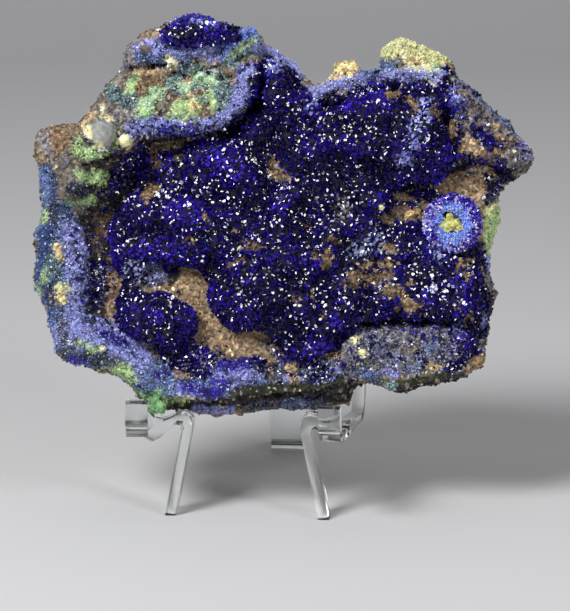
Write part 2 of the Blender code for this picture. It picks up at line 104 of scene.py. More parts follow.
# Crystal forms: sides, flatness, and the cuts of the tip: height, slant and facing in degrees
CRYSTAL_SHAPES = {
    "block": (5, 0.85, [(1.0, 22, 20), (0.98, 32, 190)]),
    "tablet": (6, 0.5, [(0.95, 30, 90), (0.95, 24, 280)]),
    "wedge": (4, 0.9, [(0.9, 14, 60), (0.95, 38, 200)]),
}
FACET_SLANT = 24
FACET_SHAPE = (6, 0.85, [(0.85, FACET_SLANT, 0)])
GRAIN_SHAPE = (3, 0.9, [(0.7, 24, 40)])
CRUMB_SHAPE = (4, 0.85, [(0.6, 22, 30)])

# The studio's lights: their places, and the widths of their square faces
LIGHT_PLACES = {"key": (-0.30, -0.36, 0.44), "fill": (0.36, -0.40, 0.26), "overhead": (0.0, 0.1, 1.2)}
LIGHT_WIDTHS = {"key": 0.2, "fill": 0.13, "overhead": 1.0}

# The finishes that are coats of fine crystals
FROSTED = ("frost", "rime", "night")
BLUE_COATS = (
    "lavender", "violet", "pale blue", "dusk blue", "sky blue", "slate", "turquoise", "azurite", *FROSTED
)
GREEN_COATS = ("malachite", "leaf green", "mint", "lime")

# From here on each (u, v) is where the eye in front sees a place
# Brush strokes over the rock, in painting order: the finish, the brush's radius and its (u, v) points
STROKES = [
    # the hollow's inner walls and floor; the first three black strokes are painted shade on its left walls
    # and a painted shadow under the ledge
    ("sootandshade", 3.6, [(-24.5, 28.0), (-25.0, 22.0), (-24.6, 15.0)]),
    ("sootandshade", 2.2, [(-24.6, 33.0), (-22.0, 33.0), (-22.0, 30.0)]),
    ("sootandshade", 2.4, [(-20.0, 36.2), (-15.0, 36.6), (-10.0, 36.8), (-5.0, 39.0)]),
    ("umber", 0.9, [(-25.2, 22.9), (-25.0, 22.0)]),
    ("umber", 0.8, [(-23.2, 24.8), (-22.8, 26.2)]),
    ("umber", 0.5, [(-25.4, 26.2), (-23.6, 25.4)]),
    ("umber", 1.1, [(-22.8, 20.2), (-22.8, 16.5), (-23.0, 13.6)]),
    ("tan", 0.9, [(-22.6, 14.6), (-23.0, 12.8), (-21.2, 10.8)]),
    ("umber", 0.8, [(-18.0, 35.0), (-17.6, 32.4)]),
    ("tan", 2.4, [(-19.4, 18.4), (-15.8, 18.6), (-13.6, 17.4), (-11.4, 17.0), (-10.6, 13.8), (-8.4, 10.6)]),
    ("tan", 2.2, [(-8.4, 10.6), (-4.6, 9.6), (-2.2, 9.0)]),
    ("rime", 1.9, [(-18.8, 19.0), (-17.4, 18.6)]),
    ("night", 0.8, [(-19.2, 18.2), (-17.8, 17.8)]),
    ("sootandshade", 0.7, [(-15.0, 17.8), (-14.0, 20.8)]),
    ("night", 1.5, [(-21.9, 31.4), (-20.6, 33.4), (-18.9, 34.8)]),
    ("umber", 0.6, [(-24.6, 24.9), (-23.4, 24.2)]),
    ("night", 1.1, [(-24.9, 19.6), (-25.0, 15.6)]),
    ("tan", 1.4, [(-2.0, 9.0), (-1.4, 7.0)]),
    ("tan", 1.5, [(-17.4, 34.2), (-16.0, 35.0), (-11.6, 35.4)]),
    ("ochre", 0.5, [(-16.4, 34.4), (-14.4, 35.2)]),
    # the ledge
    ("limonite", 4.4, [
        (-30.4, 36.0), (-27.6, 35.0), (-25.0, 38.0), (-22.6, 42.0), (-18.0, 44.4), (-12.0, 44.0),
    ]),
    ("corner", 2.2, [(-29.6, 33.8), (-28.6, 31.0), (-28.4, 28.0)]),
    ("limonite", 3.6, [(-16.0, 41.2), (-11.0, 42.4), (-8.0, 42.0)]),
    ("grey", 1.4, [(-22.6, 39.6), (-20.8, 40.2), (-20.6, 38.8)]),
    ("grey", 1.2, [(-19.6, 49.0), (-20.4, 47.6)]),
    ("grey", 1.0, [(-31.9, 37.0), (-31.4, 35.6)]),
    ("umber", 1.1, [(-29.9, 37.6), (-30.0, 36.0)]),
    ("corner", 1.6, [(-25.8, 40.0), (-23.8, 43.0), (-21.8, 45.0)]),
    ("tan", 0.6, [(-27.2, 38.7), (-25.4, 39.9)]),
    ("cream", 0.4, [(-24.4, 39.6), (-23.4, 39.5)]),
    ("cream", 0.25, [(-24.3, 41.1), (-24.1, 40.4)]),
    ("cream", 0.35, [(-22.2, 42.7), (-21.2, 43.1)]),
    ("tan", 0.6, [(-18.6, 45.9), (-16.6, 45.5)]),
    ("umber", 0.9, [(-19.6, 44.0), (-16.6, 44.4)]),
    ("turquoise", 1.7, [(-12.6, 45.4), (-9.8, 45.0), (-8.0, 43.0), (-7.6, 41.4)]),
    ("turquoise", 1.0, [(-23.0, 43.2), (-21.6, 42.0), (-20.0, 42.0)]),
    ("turquoise", 1.2, [(-15.0, 44.4), (-12.6, 43.4), (-11.0, 42.4)]),
    ("corner", 0.7, [(-16.4, 39.8), (-15.9, 41.4), (-15.8, 43.0)]),
    ("malachite", 1.3, [(-18.8, 40.0), (-18.2, 41.2)]),
    ("leaf green", 0.5, [(-19.0, 39.4), (-18.2, 39.6)]),
    ("mint", 1.1, [(-17.9, 41.9), (-16.8, 43.0)]),
    ("malachite", 1.3, [(-14.4, 39.8), (-13.2, 40.9), (-12.0, 41.0)]),
    ("mint", 0.7, [(-13.8, 43.9), (-12.8, 43.2)]),
    ("mint", 0.9, [(-11.4, 45.0), (-9.6, 44.6)]),
    ("malachite", 0.7, [(-9.9, 42.6), (-9.4, 41.0)]),
    ("malachite", 0.8, [(-20.6, 43.6), (-20.0, 44.4)]),
    ("umber", 0.4, [(-12.6, 42.5), (-11.0, 43.2)]),
    ("cream", 0.35, [(-12.6, 42.8), (-12.2, 42.0)]),
    ("pale stone", 0.35, [(-10.4, 46.3), (-9.2, 45.9)]),
    ("tan", 0.45, [(-13.2, 44.8), (-12.6, 44.6)]),
    ("ochre", 0.45, [(-12.3, 41.3), (-11.7, 41.0)]),
    ("malachite", 1.1, [(-27.3, 35.9), (-26.8, 35.0), (-25.2, 34.9), (-22.9, 36.0)]),
    ("leaf green", 0.4, [(-22.5, 38.2), (-22.6, 36.9)]),
    ("malachite", 1.3, [(-26.6, 32.0), (-24.8, 31.6)]),
    ("malachite", 0.7, [(-27.4, 28.3), (-25.6, 28.6)]),
    # painted shadow: the black stroke under the green crescent
    ("sootandshade", 0.7, [(-26.6, 33.2), (-24.4, 33.5), (-22.0, 34.9)]),
    ("ash", 2.0, [(-24.5, 37.5), (-24.3, 37.3)]),
    ("slate", 0.45, [(-26.5, 36.9), (-25.8, 36.2)]),
    ("cream", 0.4, [(-25.0, 36.1), (-24.4, 36.0)]),
    ("cream", 0.5, [(-26.2, 38.4), (-26.0, 37.2)]),
    ("cream", 0.9, [(-21.3, 36.8), (-21.1, 36.4)]),
    # the pale and violet coatings of the ledge
    ("lavender", 1.1, [
        (-20.0, 38.2), (-17.0, 38.6), (-14.0, 38.2), (-11.0, 38.3), (-8.4, 39.2), (-6.4, 41.2),
    ]),
    ("azurite", 1.3, [(-4.0, 45.6), (-4.0, 43.0), (-4.8, 40.2), (-6.8, 37.6)]),
    ("lavender", 1.0, [(-6.2, 41.4), (-5.7, 43.6), (-5.6, 45.4), (-4.8, 46.2)]),
    ("violet", 0.8, [(-16.0, 38.0), (-12.0, 37.9)]),
    ("lavender", 1.4, [(-18.8, 48.6), (-15.8, 49.2), (-12.0, 49.0), (-9.0, 48.6), (-7.4, 48.4)]),
    ("pale blue", 0.8, [(-19.0, 47.6), (-16.8, 47.2), (-13.0, 47.2)]),
    ("corner", 0.5, [(-18.8, 48.9), (-18.2, 48.8)]),
    ("cream", 0.5, [(-15.2, 47.3), (-14.7, 46.9)]),
    ("violet", 1.0, [(-14.4, 52.6), (-12.0, 52.8), (-9.6, 52.2)]),
    ("azurite", 1.2, [(-15.4, 50.6), (-12.4, 51.0), (-9.0, 50.8), (-6.4, 50.8)]),
    ("sky blue", 1.1, [(-8.2, 49.2), (-6.2, 50.2), (-4.2, 50.6)]),
    ("turquoise", 1.0, [(-7.2, 47.2), (-5.4, 48.4), (-3.8, 49.4)]),
    ("malachite", 0.4, [(-6.8, 48.2), (-5.4, 49.2), (-3.9, 50.0)]),
    ("moss", 0.25, [(-6.0, 49.0), (-4.4, 49.9)]),
    # the left rim
    ("slate", 1.1, [(-28.0, 30.4), (-27.2, 30.0)]),
    ("pale blue", 3.2, [(-30.6, 25.6), (-30.2, 20.0), (-29.6, 14.0), (-28.6, 10.6)]),
    ("dusk blue", 1.3, [
        (-32.0, 32.2), (-31.4, 29.4), (-31.2, 26.4), (-32.2, 23.4), (-32.4, 20.0), (-31.6, 14.4),
    ]),
    ("pale blue", 0.6, [(-32.2, 32.4), (-31.4, 30.6), (-31.6, 29.4), (-30.8, 28.0)]),
    ("turquoise", 0.7, [(-31.0, 21.0), (-30.6, 19.0)]),
    ("slate", 0.5, [(-31.0, 27.6), (-30.8, 25.6)]),
    ("slate", 0.6, [(-31.4, 16.4), (-31.0, 14.8)]),
    ("lavender", 1.5, [(-28.4, 24.4), (-27.8, 21.0), (-27.6, 17.0), (-28.0, 14.0), (-28.6, 11.4)]),
    ("malachite", 0.4, [(-31.9, 27.2), (-32.2, 25.6)]),
    ("malachite", 0.45, [(-31.9, 19.4), (-32.0, 17.9)]),
    ("lime", 0.6, [(-30.2, 17.0), (-28.9, 16.8)]),
    ("leaf green", 0.4, [(-29.0, 28.5), (-28.8, 28.3)]),
    ("ochre", 0.4, [(-30.3, 22.5), (-29.8, 20.9)]),
    ("ochre", 0.6, [(-29.9, 15.8), (-29.4, 15.3)]),
    # the bottom rim
    ("pale blue", 2.6, [(-28.0, 9.0), (-24.0, 8.0), (-20.0, 6.0), (-16.0, 4.6), (-11.0, 3.8), (-4.0, 3.6)]),
    ("lavender", 1.9, [(-29.0, 11.0), (-26.0, 11.6), (-23.2, 10.6), (-20.6, 9.0), (-19.4, 7.6)]),
    ("rime", 0.7, [(-29.8, 12.6), (-29.6, 10.0), (-27.6, 9.4)]),
    ("slate", 0.9, [(-29.4, 8.0), (-26.6, 7.5), (-23.6, 7.0), (-21.8, 6.6)]),
    ("violet", 0.4, [(-28.4, 7.6), (-26.6, 6.9)]),
    ("malachite", 0.4, [(-27.2, 9.6), (-26.0, 9.0), (-24.4, 8.7)]),
    # painted highlight: a small cream dot for the light on the malachite
    ("cream", 0.25, [(-24.4, 8.7), (-24.2, 8.7)]),
    ("malachite", 0.9, [(-23.6, 5.6), (-21.8, 5.8), (-20.4, 4.8)]),
    ("malachite", 0.6, [(-21.4, 6.4), (-20.6, 5.6)]),
    ("leaf green", 1.6, [(-17.0, 1.6), (-16.6, 0.6)]),
    ("leaf green", 0.5, [(-14.6, 2.0), (-13.4, 1.7)]),
    ("leaf green", 0.4, [(-20.6, 3.8), (-19.4, 3.1), (-18.2, 2.1)]),
    ("sootandshade", 0.7, [(-15.2, 0.9), (-12.4, 0.8)]),
    ("violet", 0.6, [(-24.2, 10.9), (-22.4, 10.2), (-21.2, 9.4)]),
    ("night", 2.2, [(-14.8, 8.8), (-13.0, 7.6), (-11.4, 6.8)]),
    ("umber", 0.4, [(-14.4, 5.6), (-13.0, 5.2)]),
    ("lavender", 1.4, [(-8.4, 5.2), (-6.6, 5.2), (-4.6, 5.4), (-3.8, 6.0)]),
    ("violet", 0.8, [(-8.6, 6.6), (-6.4, 6.8), (-4.4, 7.0)]),
    ("violet", 0.5, [(-9.2, 4.6), (-7.6, 4.0)]),
    ("night", 0.8, [(-3.6, 7.4), (-3.0, 6.2)]),
    ("lavender", 0.9, [(-14.0, 3.4), (-10.0, 3.2)]),
    ("violet", 0.6, [(-16.4, 5.6), (-15.8, 5.4)]),
    ("violet", 0.8, [(-12.8, 3.8), (-10.6, 3.2), (-8.6, 3.0)]),
    ("umber", 0.6, [(-1.6, 7.0), (-1.5, 5.2)]),
    ("slate", 2.2, [(0.4, 5.8), (4.4, 6.0), (8.0, 5.6)]),
    ("violet", 0.5, [(-0.5, 7.9), (0.1, 7.6)]),
    ("night", 1.0, [(4.0, 6.8), (4.9, 5.0)]),
    ("rime", 1.3, [(7.2, 6.4), (9.2, 6.6)]),
    ("lavender", 0.6, [(0.4, 4.8), (2.0, 4.6)]),
    ("lavender", 0.5, [(5.6, 4.4), (8.2, 5.0)]),
    ("tan", 0.7, [(1.0, 6.3), (1.2, 4.8)]),
    ("tan", 0.8, [(6.4, 8.2), (7.2, 7.8)]),
    # the bottom right patch
    ("azurite", 1.0, [(7.6, 10.0), (10.0, 12.0), (14.0, 12.8), (18.0, 12.6), (22.0, 12.2)]),
    ("frost", 3.4, [(11.0, 8.4), (15.0, 8.6), (19.0, 8.6), (21.6, 8.4)]),
    ("rime", 0.8, [(11.4, 10.6), (13.0, 8.6), (15.0, 7.4)]),
    ("rime", 0.8, [(18.4, 7.6), (19.8, 9.4)]),
    ("pale blue", 0.8, [(10.4, 5.4), (12.2, 5.0)]),
    ("lavender", 0.6, [(13.4, 5.9), (15.2, 5.4)]),
    ("rime", 0.7, [(16.4, 5.6), (18.0, 6.6)]),
    ("pale blue", 0.4, [(19.0, 9.4), (20.0, 8.8)]),
    ("violet", 0.6, [(17.0, 11.6), (17.8, 11.4)]),
    ("violet", 0.8, [(20.4, 12.2), (22.8, 11.8), (23.7, 10.4), (23.2, 9.0)]),
    ("lavender", 0.5, [(20.8, 12.2), (22.4, 12.1), (23.1, 11.4)]),
    ("corner", 0.5, [(16.6, 9.0), (18.0, 8.6)]),
    ("cream", 0.45, [(9.5, 10.1), (9.6, 9.9)]),
    ("cream", 0.45, [(10.3, 8.6), (10.8, 8.1)]),
    ("ochre", 0.3, [(18.9, 6.5), (20.8, 6.3)]),
    ("night", 1.0, [(22.4, 6.4), (24.2, 7.2), (24.6, 9.6)]),
    ("umber", 0.9, [(25.7, 8.4), (25.5, 7.0)]),
    ("sootandshade", 0.8, [(15.4, 3.3), (18.0, 3.8), (21.0, 4.5), (23.6, 4.9)]),
    ("moss", 0.4, [(9.4, 3.9), (11.6, 3.9), (17.0, 4.5), (21.4, 5.4)]),
    ("pale stone", 0.5, [(22.2, 8.4), (22.6, 8.1)]),
    ("turquoise", 0.5, [(12.8, 4.1), (14.6, 3.8)]),
    # the crack under the front rim, and the set-back foot below it; their black strokes are painted shade in
    # the crack and under the rim
    ("sootandshade", 0.7, [
        (-14.0, 2.1), (-10.4, 1.3), (-7.0, 1.9), (-3.4, 2.3), (0.0, 2.5), (4.6, 2.9), (9.4, 4.4),
    ]),
    ("sootandshade", 0.9, [(-6.0, 3.0), (-3.4, 3.1), (0.2, 3.3), (4.6, 3.4), (8.0, 4.2)]),
    ("moss", 0.3, [(-6.6, 2.9), (-3.4, 3.4), (0.2, 3.6), (4.6, 3.8), (8.0, 4.6)]),
    ("moss", 0.2, [(-3.4, 2.7), (0.2, 2.9), (4.6, 3.0), (8.0, 3.8)]),
    ("sootandshade", 1.3, [(5.4, 1.6), (8.2, 2.4), (9.6, 3.4)]),
    ("malachite", 0.45, [(-15.6, 1.8), (-14.2, 2.2), (-13.4, 1.7)]),
    ("cream", 0.25, [(-13.4, 2.3), (-12.2, 2.2)]),
    ("lavender", 0.5, [(-12.0, 0.8), (-7.0, 0.7)]),
    ("slate", 1.1, [(-3.6, 0.6), (-0.6, 0.9), (2.0, 1.2), (4.8, 1.6)]),
    ("pale blue", 0.5, [(0.2, 1.6), (2.6, 1.9)]),
    # the top rim and its knobs
    ("azurite", 1.3, [(4.6, 41.6), (7.0, 42.2), (10.0, 43.0), (13.2, 43.6), (17.0, 44.0), (20.6, 44.2)]),
    ("ochre", 2.6, [(7.0, 45.6), (9.6, 46.4)]),
    ("lime", 3.2, [(14.6, 48.2), (17.0, 47.6), (20.4, 46.6)]),
    ("mint", 0.5, [(20.2, 46.6), (21.2, 45.6)]),
    ("cream", 0.8, [(16.2, 47.4), (17.8, 46.8), (19.0, 45.8)]),
    ("ochre", 0.3, [(16.6, 47.6), (17.8, 47.1)]),
    ("corner", 0.6, [(14.8, 46.9), (15.8, 46.7)]),
    ("turquoise", 0.8, [(11.0, 46.2), (12.4, 46.8)]),
    ("lavender", 0.8, [
        (4.6, 43.0), (6.0, 43.8), (8.4, 44.2), (11.2, 45.0), (14.2, 45.4), (18.6, 45.1), (21.8, 45.0),
    ]),
    ("pale blue", 0.8, [(11.0, 46.0), (12.4, 46.4), (14.4, 46.6)]),
    ("lavender", 0.6, [(3.4, 43.4), (4.0, 41.8), (4.4, 40.6)]),
    ("lavender", 0.8, [(-3.6, 48.9), (-1.4, 48.4), (0.4, 47.2), (2.2, 45.4)]),
    # the right corner
    ("corner", 3.2, [(24.2, 41.0), (26.6, 39.0), (29.2, 36.6), (30.6, 34.8)]),
    ("azurite", 1.1, [(21.8, 44.0), (22.6, 41.0), (22.6, 38.0), (23.0, 35.4), (23.6, 34.0), (26.2, 33.4)]),
    ("tan", 0.6, [(22.6, 39.2), (22.6, 37.4)]),
    ("frost", 0.7, [(23.4, 39.8), (24.8, 39.6)]),
    ("tan", 0.8, [(24.0, 35.6), (25.0, 36.6), (25.8, 35.2)]),
    ("umber", 0.5, [(26.6, 34.8), (27.2, 34.6)]),
    ("umber", 1.3, [(28.4, 36.2), (30.2, 35.8)]),
    ("ochre", 0.3, [(28.1, 38.5), (28.3, 38.4)]),
    ("azurite", 0.8, [(25.6, 37.8), (27.4, 36.4)]),
    ("azurite", 0.9, [(28.6, 33.2), (29.6, 31.8)]),
    ("lavender", 0.6, [(31.8, 36.2), (32.8, 34.6)]),
    ("frost", 0.7, [(30.4, 34.6), (32.0, 34.2)]),
    ("pale blue", 0.4, [(22.4, 45.4), (25.2, 43.4), (28.6, 40.0), (31.4, 37.2)]),
    ("azurite", 1.5, [(15.6, 31.0), (17.8, 30.2), (19.4, 29.4)]),
    ("umber", 0.4, [(16.8, 31.4), (18.4, 30.6)]),
    ("umber", 1.7, [(21.4, 31.0), (23.4, 31.6), (26.0, 31.6)]),
    ("tan", 0.9, [(22.0, 30.4), (24.6, 29.9), (26.0, 29.6)]),
    ("tan", 0.8, [(24.4, 32.4), (27.0, 32.8)]),
    ("umber", 1.4, [(16.0, 28.2), (18.0, 27.2)]),
    ("ochre", 0.3, [(16.4, 26.6), (17.8, 27.2)]),
    ("azurite", 0.4, [(15.0, 28.3), (17.4, 28.2)]),
    # painted shadow: the black stroke under the overhanging right lobe
    ("sootandshade", 0.8, [(15.6, 31.9), (20.0, 32.8), (24.0, 33.6)]),
    ("azurite", 0.8, [(27.6, 31.2), (28.2, 29.8), (27.4, 28.6)]),
    ("lime", 1.4, [(27.6, 24.4), (28.4, 27.6)]),
    ("malachite", 1.0, [(27.8, 24.0), (28.4, 26.4)]),
    ("slate", 0.7, [(27.8, 28.9), (28.6, 29.6)]),
    ("azurite", 1.3, [(26.2, 21.0), (26.2, 13.0), (25.6, 10.4), (25.0, 8.8)]),
    ("malachite", 0.5, [(27.2, 23.2), (27.5, 21.0)]),
    ("lavender", 0.55, [(27.3, 20.6), (27.4, 19.2)]),
    ("tan", 0.3, [(26.2, 19.8), (26.5, 19.0)]),
    ("grey", 0.6, [(27.0, 18.0), (27.8, 16.4)]),
    ("lavender", 0.3, [(26.7, 13.4), (26.6, 12.0)]),
    ("grey", 0.5, [(26.4, 10.2), (26.2, 9.2)]),
]

# The odd grains among the fine coatings: the finish, and its share in plain coats and in frost
MINGLED = [
    ("pale stone", 0.05, 0.15), ("azurite", 0.05, 0.2), ("turquoise", 0.06, 0.04), ("lavender", 0.0, 0.22),
    ("corner", 0.0, 0.12),
]

# The outer sides, where no coating runs straight back: the strip's width, its front's depth and its points
OUTER_SIDES = [
    (2.0, 4.0, [(-32.8, 13.0), (-33.0, 20.0), (-32.8, 26.0), (-33.0, 33.0)]),
    (2.4, 6.0, [(-33.2, 35.0), (-32.6, 38.4), (-27.0, 41.4), (-22.2, 46.0), (-20.4, 50.4)]),
    (1.6, 3.6, [(22.4, 45.8), (28.0, 41.2), (33.4, 35.8)]),
    (1.6, 2.0, [(-32.0, 11.0), (-27.0, 6.6), (-21.0, 3.0)]),
]

# Bare places in the druse, where the rock shows: the brush's radius and its (u, v) points
WINDOWS = [
    (0.8, [(14.0, 42.6), (15.2, 43.0)]),
    (0.6, [(16.4, 42.2), (17.6, 41.0)]),
    (0.6, [(19.6, 40.6), (20.6, 40.0)]),
    (0.8, [(22.8, 39.0), (23.0, 37.8)]),
    (0.9, [(23.6, 35.8), (25.0, 36.2)]),
    (0.8, [(-1.6, 34.0), (-1.2, 32.4), (0.2, 31.8)]),
    (0.7, [(-5.8, 38.8), (-5.0, 39.4)]),
    (0.5, [(-5.0, 22.4), (-3.0, 22.7)]),
    (0.3, [(-6.6, 24.8), (-5.2, 23.2)]),
    (0.3, [(-7.4, 20.0), (-5.2, 20.8)]),
    (0.4, [(-10.7, 26.4), (-10.3, 26.0)]),
    (0.5, [(-12.8, 23.6), (-12.2, 23.2)]),
    (0.9, [(-18.4, 29.2), (-17.2, 30.4)]),
    (0.7, [(-17.0, 33.4), (-17.4, 34.6)]),
    (0.5, [(-14.4, 34.0), (-13.6, 34.4)]),
    (0.8, [(5.8, 21.4), (5.6, 20.2)]),
    (0.6, [(6.2, 23.4), (6.8, 23.2)]),
    (0.4, [(3.0, 25.6), (3.2, 25.2)]),
    (0.4, [(4.0, 21.4), (4.4, 21.0)]),
    (0.8, [(9.2, 18.8), (9.4, 17.2)]),
    (0.6, [(10.6, 18.6), (12.6, 18.4), (14.0, 18.8)]),
    (0.6, [(10.2, 19.8), (12.0, 20.4), (14.4, 20.0)]),
    (0.4, [(11.0, 17.4), (12.0, 17.8)]),
    (0.4, [(7.8, 17.6), (8.0, 17.2)]),
    (0.8, [(13.8, 16.4), (15.4, 16.4)]),
    (0.9, [(16.4, 15.2), (16.8, 14.4)]),
    (0.5, [(15.2, 14.2), (18.2, 14.9)]),
    (0.5, [(16.6, 17.4), (17.2, 17.2)]),
    (0.8, [(13.4, 26.4), (14.0, 25.8)]),
    (0.9, [(15.8, 26.4), (18.2, 27.2)]),
    (0.7, [(16.2, 29.2), (17.4, 28.8)]),
    (0.7, [(14.0, 22.4), (14.6, 22.0)]),
    (0.8, [(23.4, 19.8), (24.4, 20.4)]),
    (0.4, [(24.0, 18.8), (24.4, 18.4)]),
    (0.7, [(18.6, 12.6), (19.2, 12.2)]),
    (0.4, [(23.0, 14.4), (23.4, 14.0)]),
    (0.5, [(24.4, 13.4), (24.2, 12.2)]),
    (0.5, [(1.2, 15.4), (1.8, 15.2)]),
    (0.4, [(3.0, 16.0), (3.6, 15.8)]),
    (0.3, [(4.8, 13.6), (5.6, 13.2)]),
    (0.5, [(10.4, 12.2), (11.4, 12.0)]),
]

# Places in the druse with paler, finer azurite: the finish, the brush's radius and its (u, v) points
PALE_PLACES = [
    ("lavender", 0.9, [(17.6, 38.6), (18.6, 39.8), (19.0, 41.2)]),
    ("lavender", 0.6, [(17.2, 37.6), (17.4, 36.4)]),
    ("lavender", 0.7, [(15.6, 34.0), (16.6, 34.2)]),
    ("violet", 0.8, [(22.6, 42.2), (23.4, 42.4)]),
    ("violet", 0.9, [(8.0, 40.8), (9.0, 41.0)]),
    ("violet", 1.2, [(-15.0, 27.4), (-12.0, 27.0)]),
    ("violet", 1.6, [(-10.0, 34.2), (-7.0, 32.6)]),
    ("violet", 1.4, [(-19.0, 21.6), (-14.4, 22.4)]),
    ("violet", 1.0, [(-19.4, 13.4), (-16.4, 13.0)]),
    ("violet", 0.9, [(18.8, 15.0), (20.0, 15.8)]),
    ("violet", 0.7, [(6.4, 12.8), (7.2, 12.4)]),
    ("violet", 1.2, [(23.4, 17.8), (24.0, 17.4)]),
    ("violet", 1.0, [(20.0, 22.2), (21.4, 21.8)]),
    ("violet", 1.2, [(3.8, 8.2), (5.2, 9.0)]),
    ("violet", 1.0, [(22.0, 34.8), (23.2, 35.2)]),
    ("violet", 1.2, [(13.0, 42.0), (12.4, 43.4)]),
    ("violet", 1.0, [(-14.8, 52.4), (-12.0, 52.9), (-9.4, 52.2)]),
    ("lavender", 0.5, [(-12.2, 52.7), (-9.6, 52.3)]),
    ("lavender", 0.9, [(-4.2, 48.8), (-2.0, 48.6), (-1.2, 46.6)]),
    ("lavender", 0.5, [(3.9, 43.6), (3.5, 41.0)]),
    ("lavender", 0.6, [(20.0, 22.4), (20.6, 21.0)]),
    ("lavender", 0.6, [(22.6, 42.8), (23.4, 42.0)]),
    ("rime", 1.5, [(-19.6, 19.2), (-18.2, 17.8)]),
    ("rime", 1.3, [(9.4, 22.0), (12.0, 22.8)]),
    ("frost", 1.0, [(13.6, 17.2), (14.6, 17.0)]),
    ("frost", 0.8, [(7.6, 28.2), (8.0, 26.4)]),
]

# Where the rock carries scattered azurite: the brush's radius and its (u, v) points
STREWN_PLACES = [
    (2.6, [(-24.8, 29.0), (-25.6, 24.0), (-24.6, 14.0)]),
    (1.8, [(-20.6, 36.0), (-15.0, 36.8), (-9.0, 37.4), (-5.0, 40.0)]),
    (2.0, [(-15.6, 8.6), (-12.4, 7.4), (-9.6, 8.2)]),
    (2.4, [(-1.0, 7.4), (4.0, 6.4), (8.6, 8.6)]),
    (3.0, [(11.0, 9.6), (17.0, 9.4), (23.0, 10.2)]),
    (2.0, [(23.4, 42.0), (27.0, 38.0), (30.6, 34.6)]),
    (1.2, [(16.0, 31.6), (21.0, 33.0), (27.0, 33.6)]),
    (1.1, [(26.8, 22.0), (27.0, 14.0), (26.0, 9.0)]),
    (0.9, [(-16.6, 18.6), (-19.4, 19.4)]),
]

# Where more and larger bright faces lie: the brush's radius, their share, their size and its (u, v) points
BRIGHT_PLACES = [
    (0.7, 0.6, 0.8, [(-16.9, 29.5), (-16.0, 29.0)]),
    (2.6, 0.5, 0.48, [(0.6, 30.0), (4.0, 26.0), (6.4, 21.0)]),
    (2.2, 0.44, 0.48, [(-2.0, 35.0), (2.0, 38.0)]),
    (2.2, 0.48, 0.48, [(6.0, 37.6), (10.6, 38.2)]),
    (2.2, 0.48, 0.46, [(-20.4, 13.6), (-15.8, 13.2)]),
    (2.0, 0.46, 0.46, [(0.4, 19.4), (4.0, 17.0)]),
    (2.4, 0.42, 0.5, [(-8.0, 33.0), (-12.0, 29.0)]),
    (2.0, 0.5, 0.56, [(18.6, 20.0), (21.4, 16.4), (19.0, 15.0)]),
]

# Single large bright crystals: u, v and size
BRIGHT_CRYSTALS = [
    (15.7, 36.3, 1.1), (19.0, 36.6, 1.1), (24.8, 34.3, 1.0), (20.1, 33.1, 1.0), (14.0, 29.6, 1.0),
    (21.2, 44.1, 1.0), (18.1, 43.6, 0.9), (19.6, 37.6, 0.9), (21.5, 37.5, 0.9), (-16.9, 29.5, 1.3),
    (-16.4, 29.2, 1.0), (-14.5, 27.7, 1.1), (-19.7, 25.6, 1.0), (-21.3, 25.5, 1.0), (-13.8, 31.1, 1.0),
    (-15.4, 22.6, 1.0), (-19.5, 22.5, 1.2), (3.9, 44.9, 1.2), (24.9, 10.9, 1.9), (25.5, 23.1, 1.2),
    (19.8, 16.8, 1.2), (20.4, 16.7, 1.0),
]

# The druse's few large pale crystals: the finish and the (u, v) point
PALE_GRAINS = [
    ("cream", (9.3, 30.3)), ("cream", (12.8, 27.9)), ("pale stone", (11.5, 25.6)),
    ("pale stone", (7.5, 38.1)), ("pale stone", (-0.8, 33.5)), ("pale stone", (3.9, 44.9)),
    ("cream", (-5.6, 21.9)),
]

# Grooves pressed into the rock: radius, depth and the (u, v) points
GROOVES = [
    (0.55, 1.5, [(-20.8, 46.3), (-18.4, 46.4), (-15.8, 46.7)]),
    (0.45, 0.9, [(-14.8, 45.6), (-12.6, 45.1), (-11.4, 46.0), (-9.0, 46.4)]),
    (0.5, 1.1, [(-8.6, 44.9), (-6.6, 45.4), (-4.8, 46.8)]),
    (0.5, 0.9, [(-14.0, 2.1), (-10.4, 1.4), (-7.0, 1.9), (-3.4, 2.4), (0.0, 2.6), (4.6, 3.0), (9.4, 4.4)]),
    (0.45, 0.7, [(-27.0, 33.4), (-24.4, 33.6), (-22.2, 34.9)]),
    (0.4, 0.6, [(-26.8, 30.3), (-25.0, 30.7), (-24.0, 30.0)]),
    (0.4, 0.5, [(-26.8, 36.9), (-25.9, 36.0), (-24.9, 35.9)]),
]

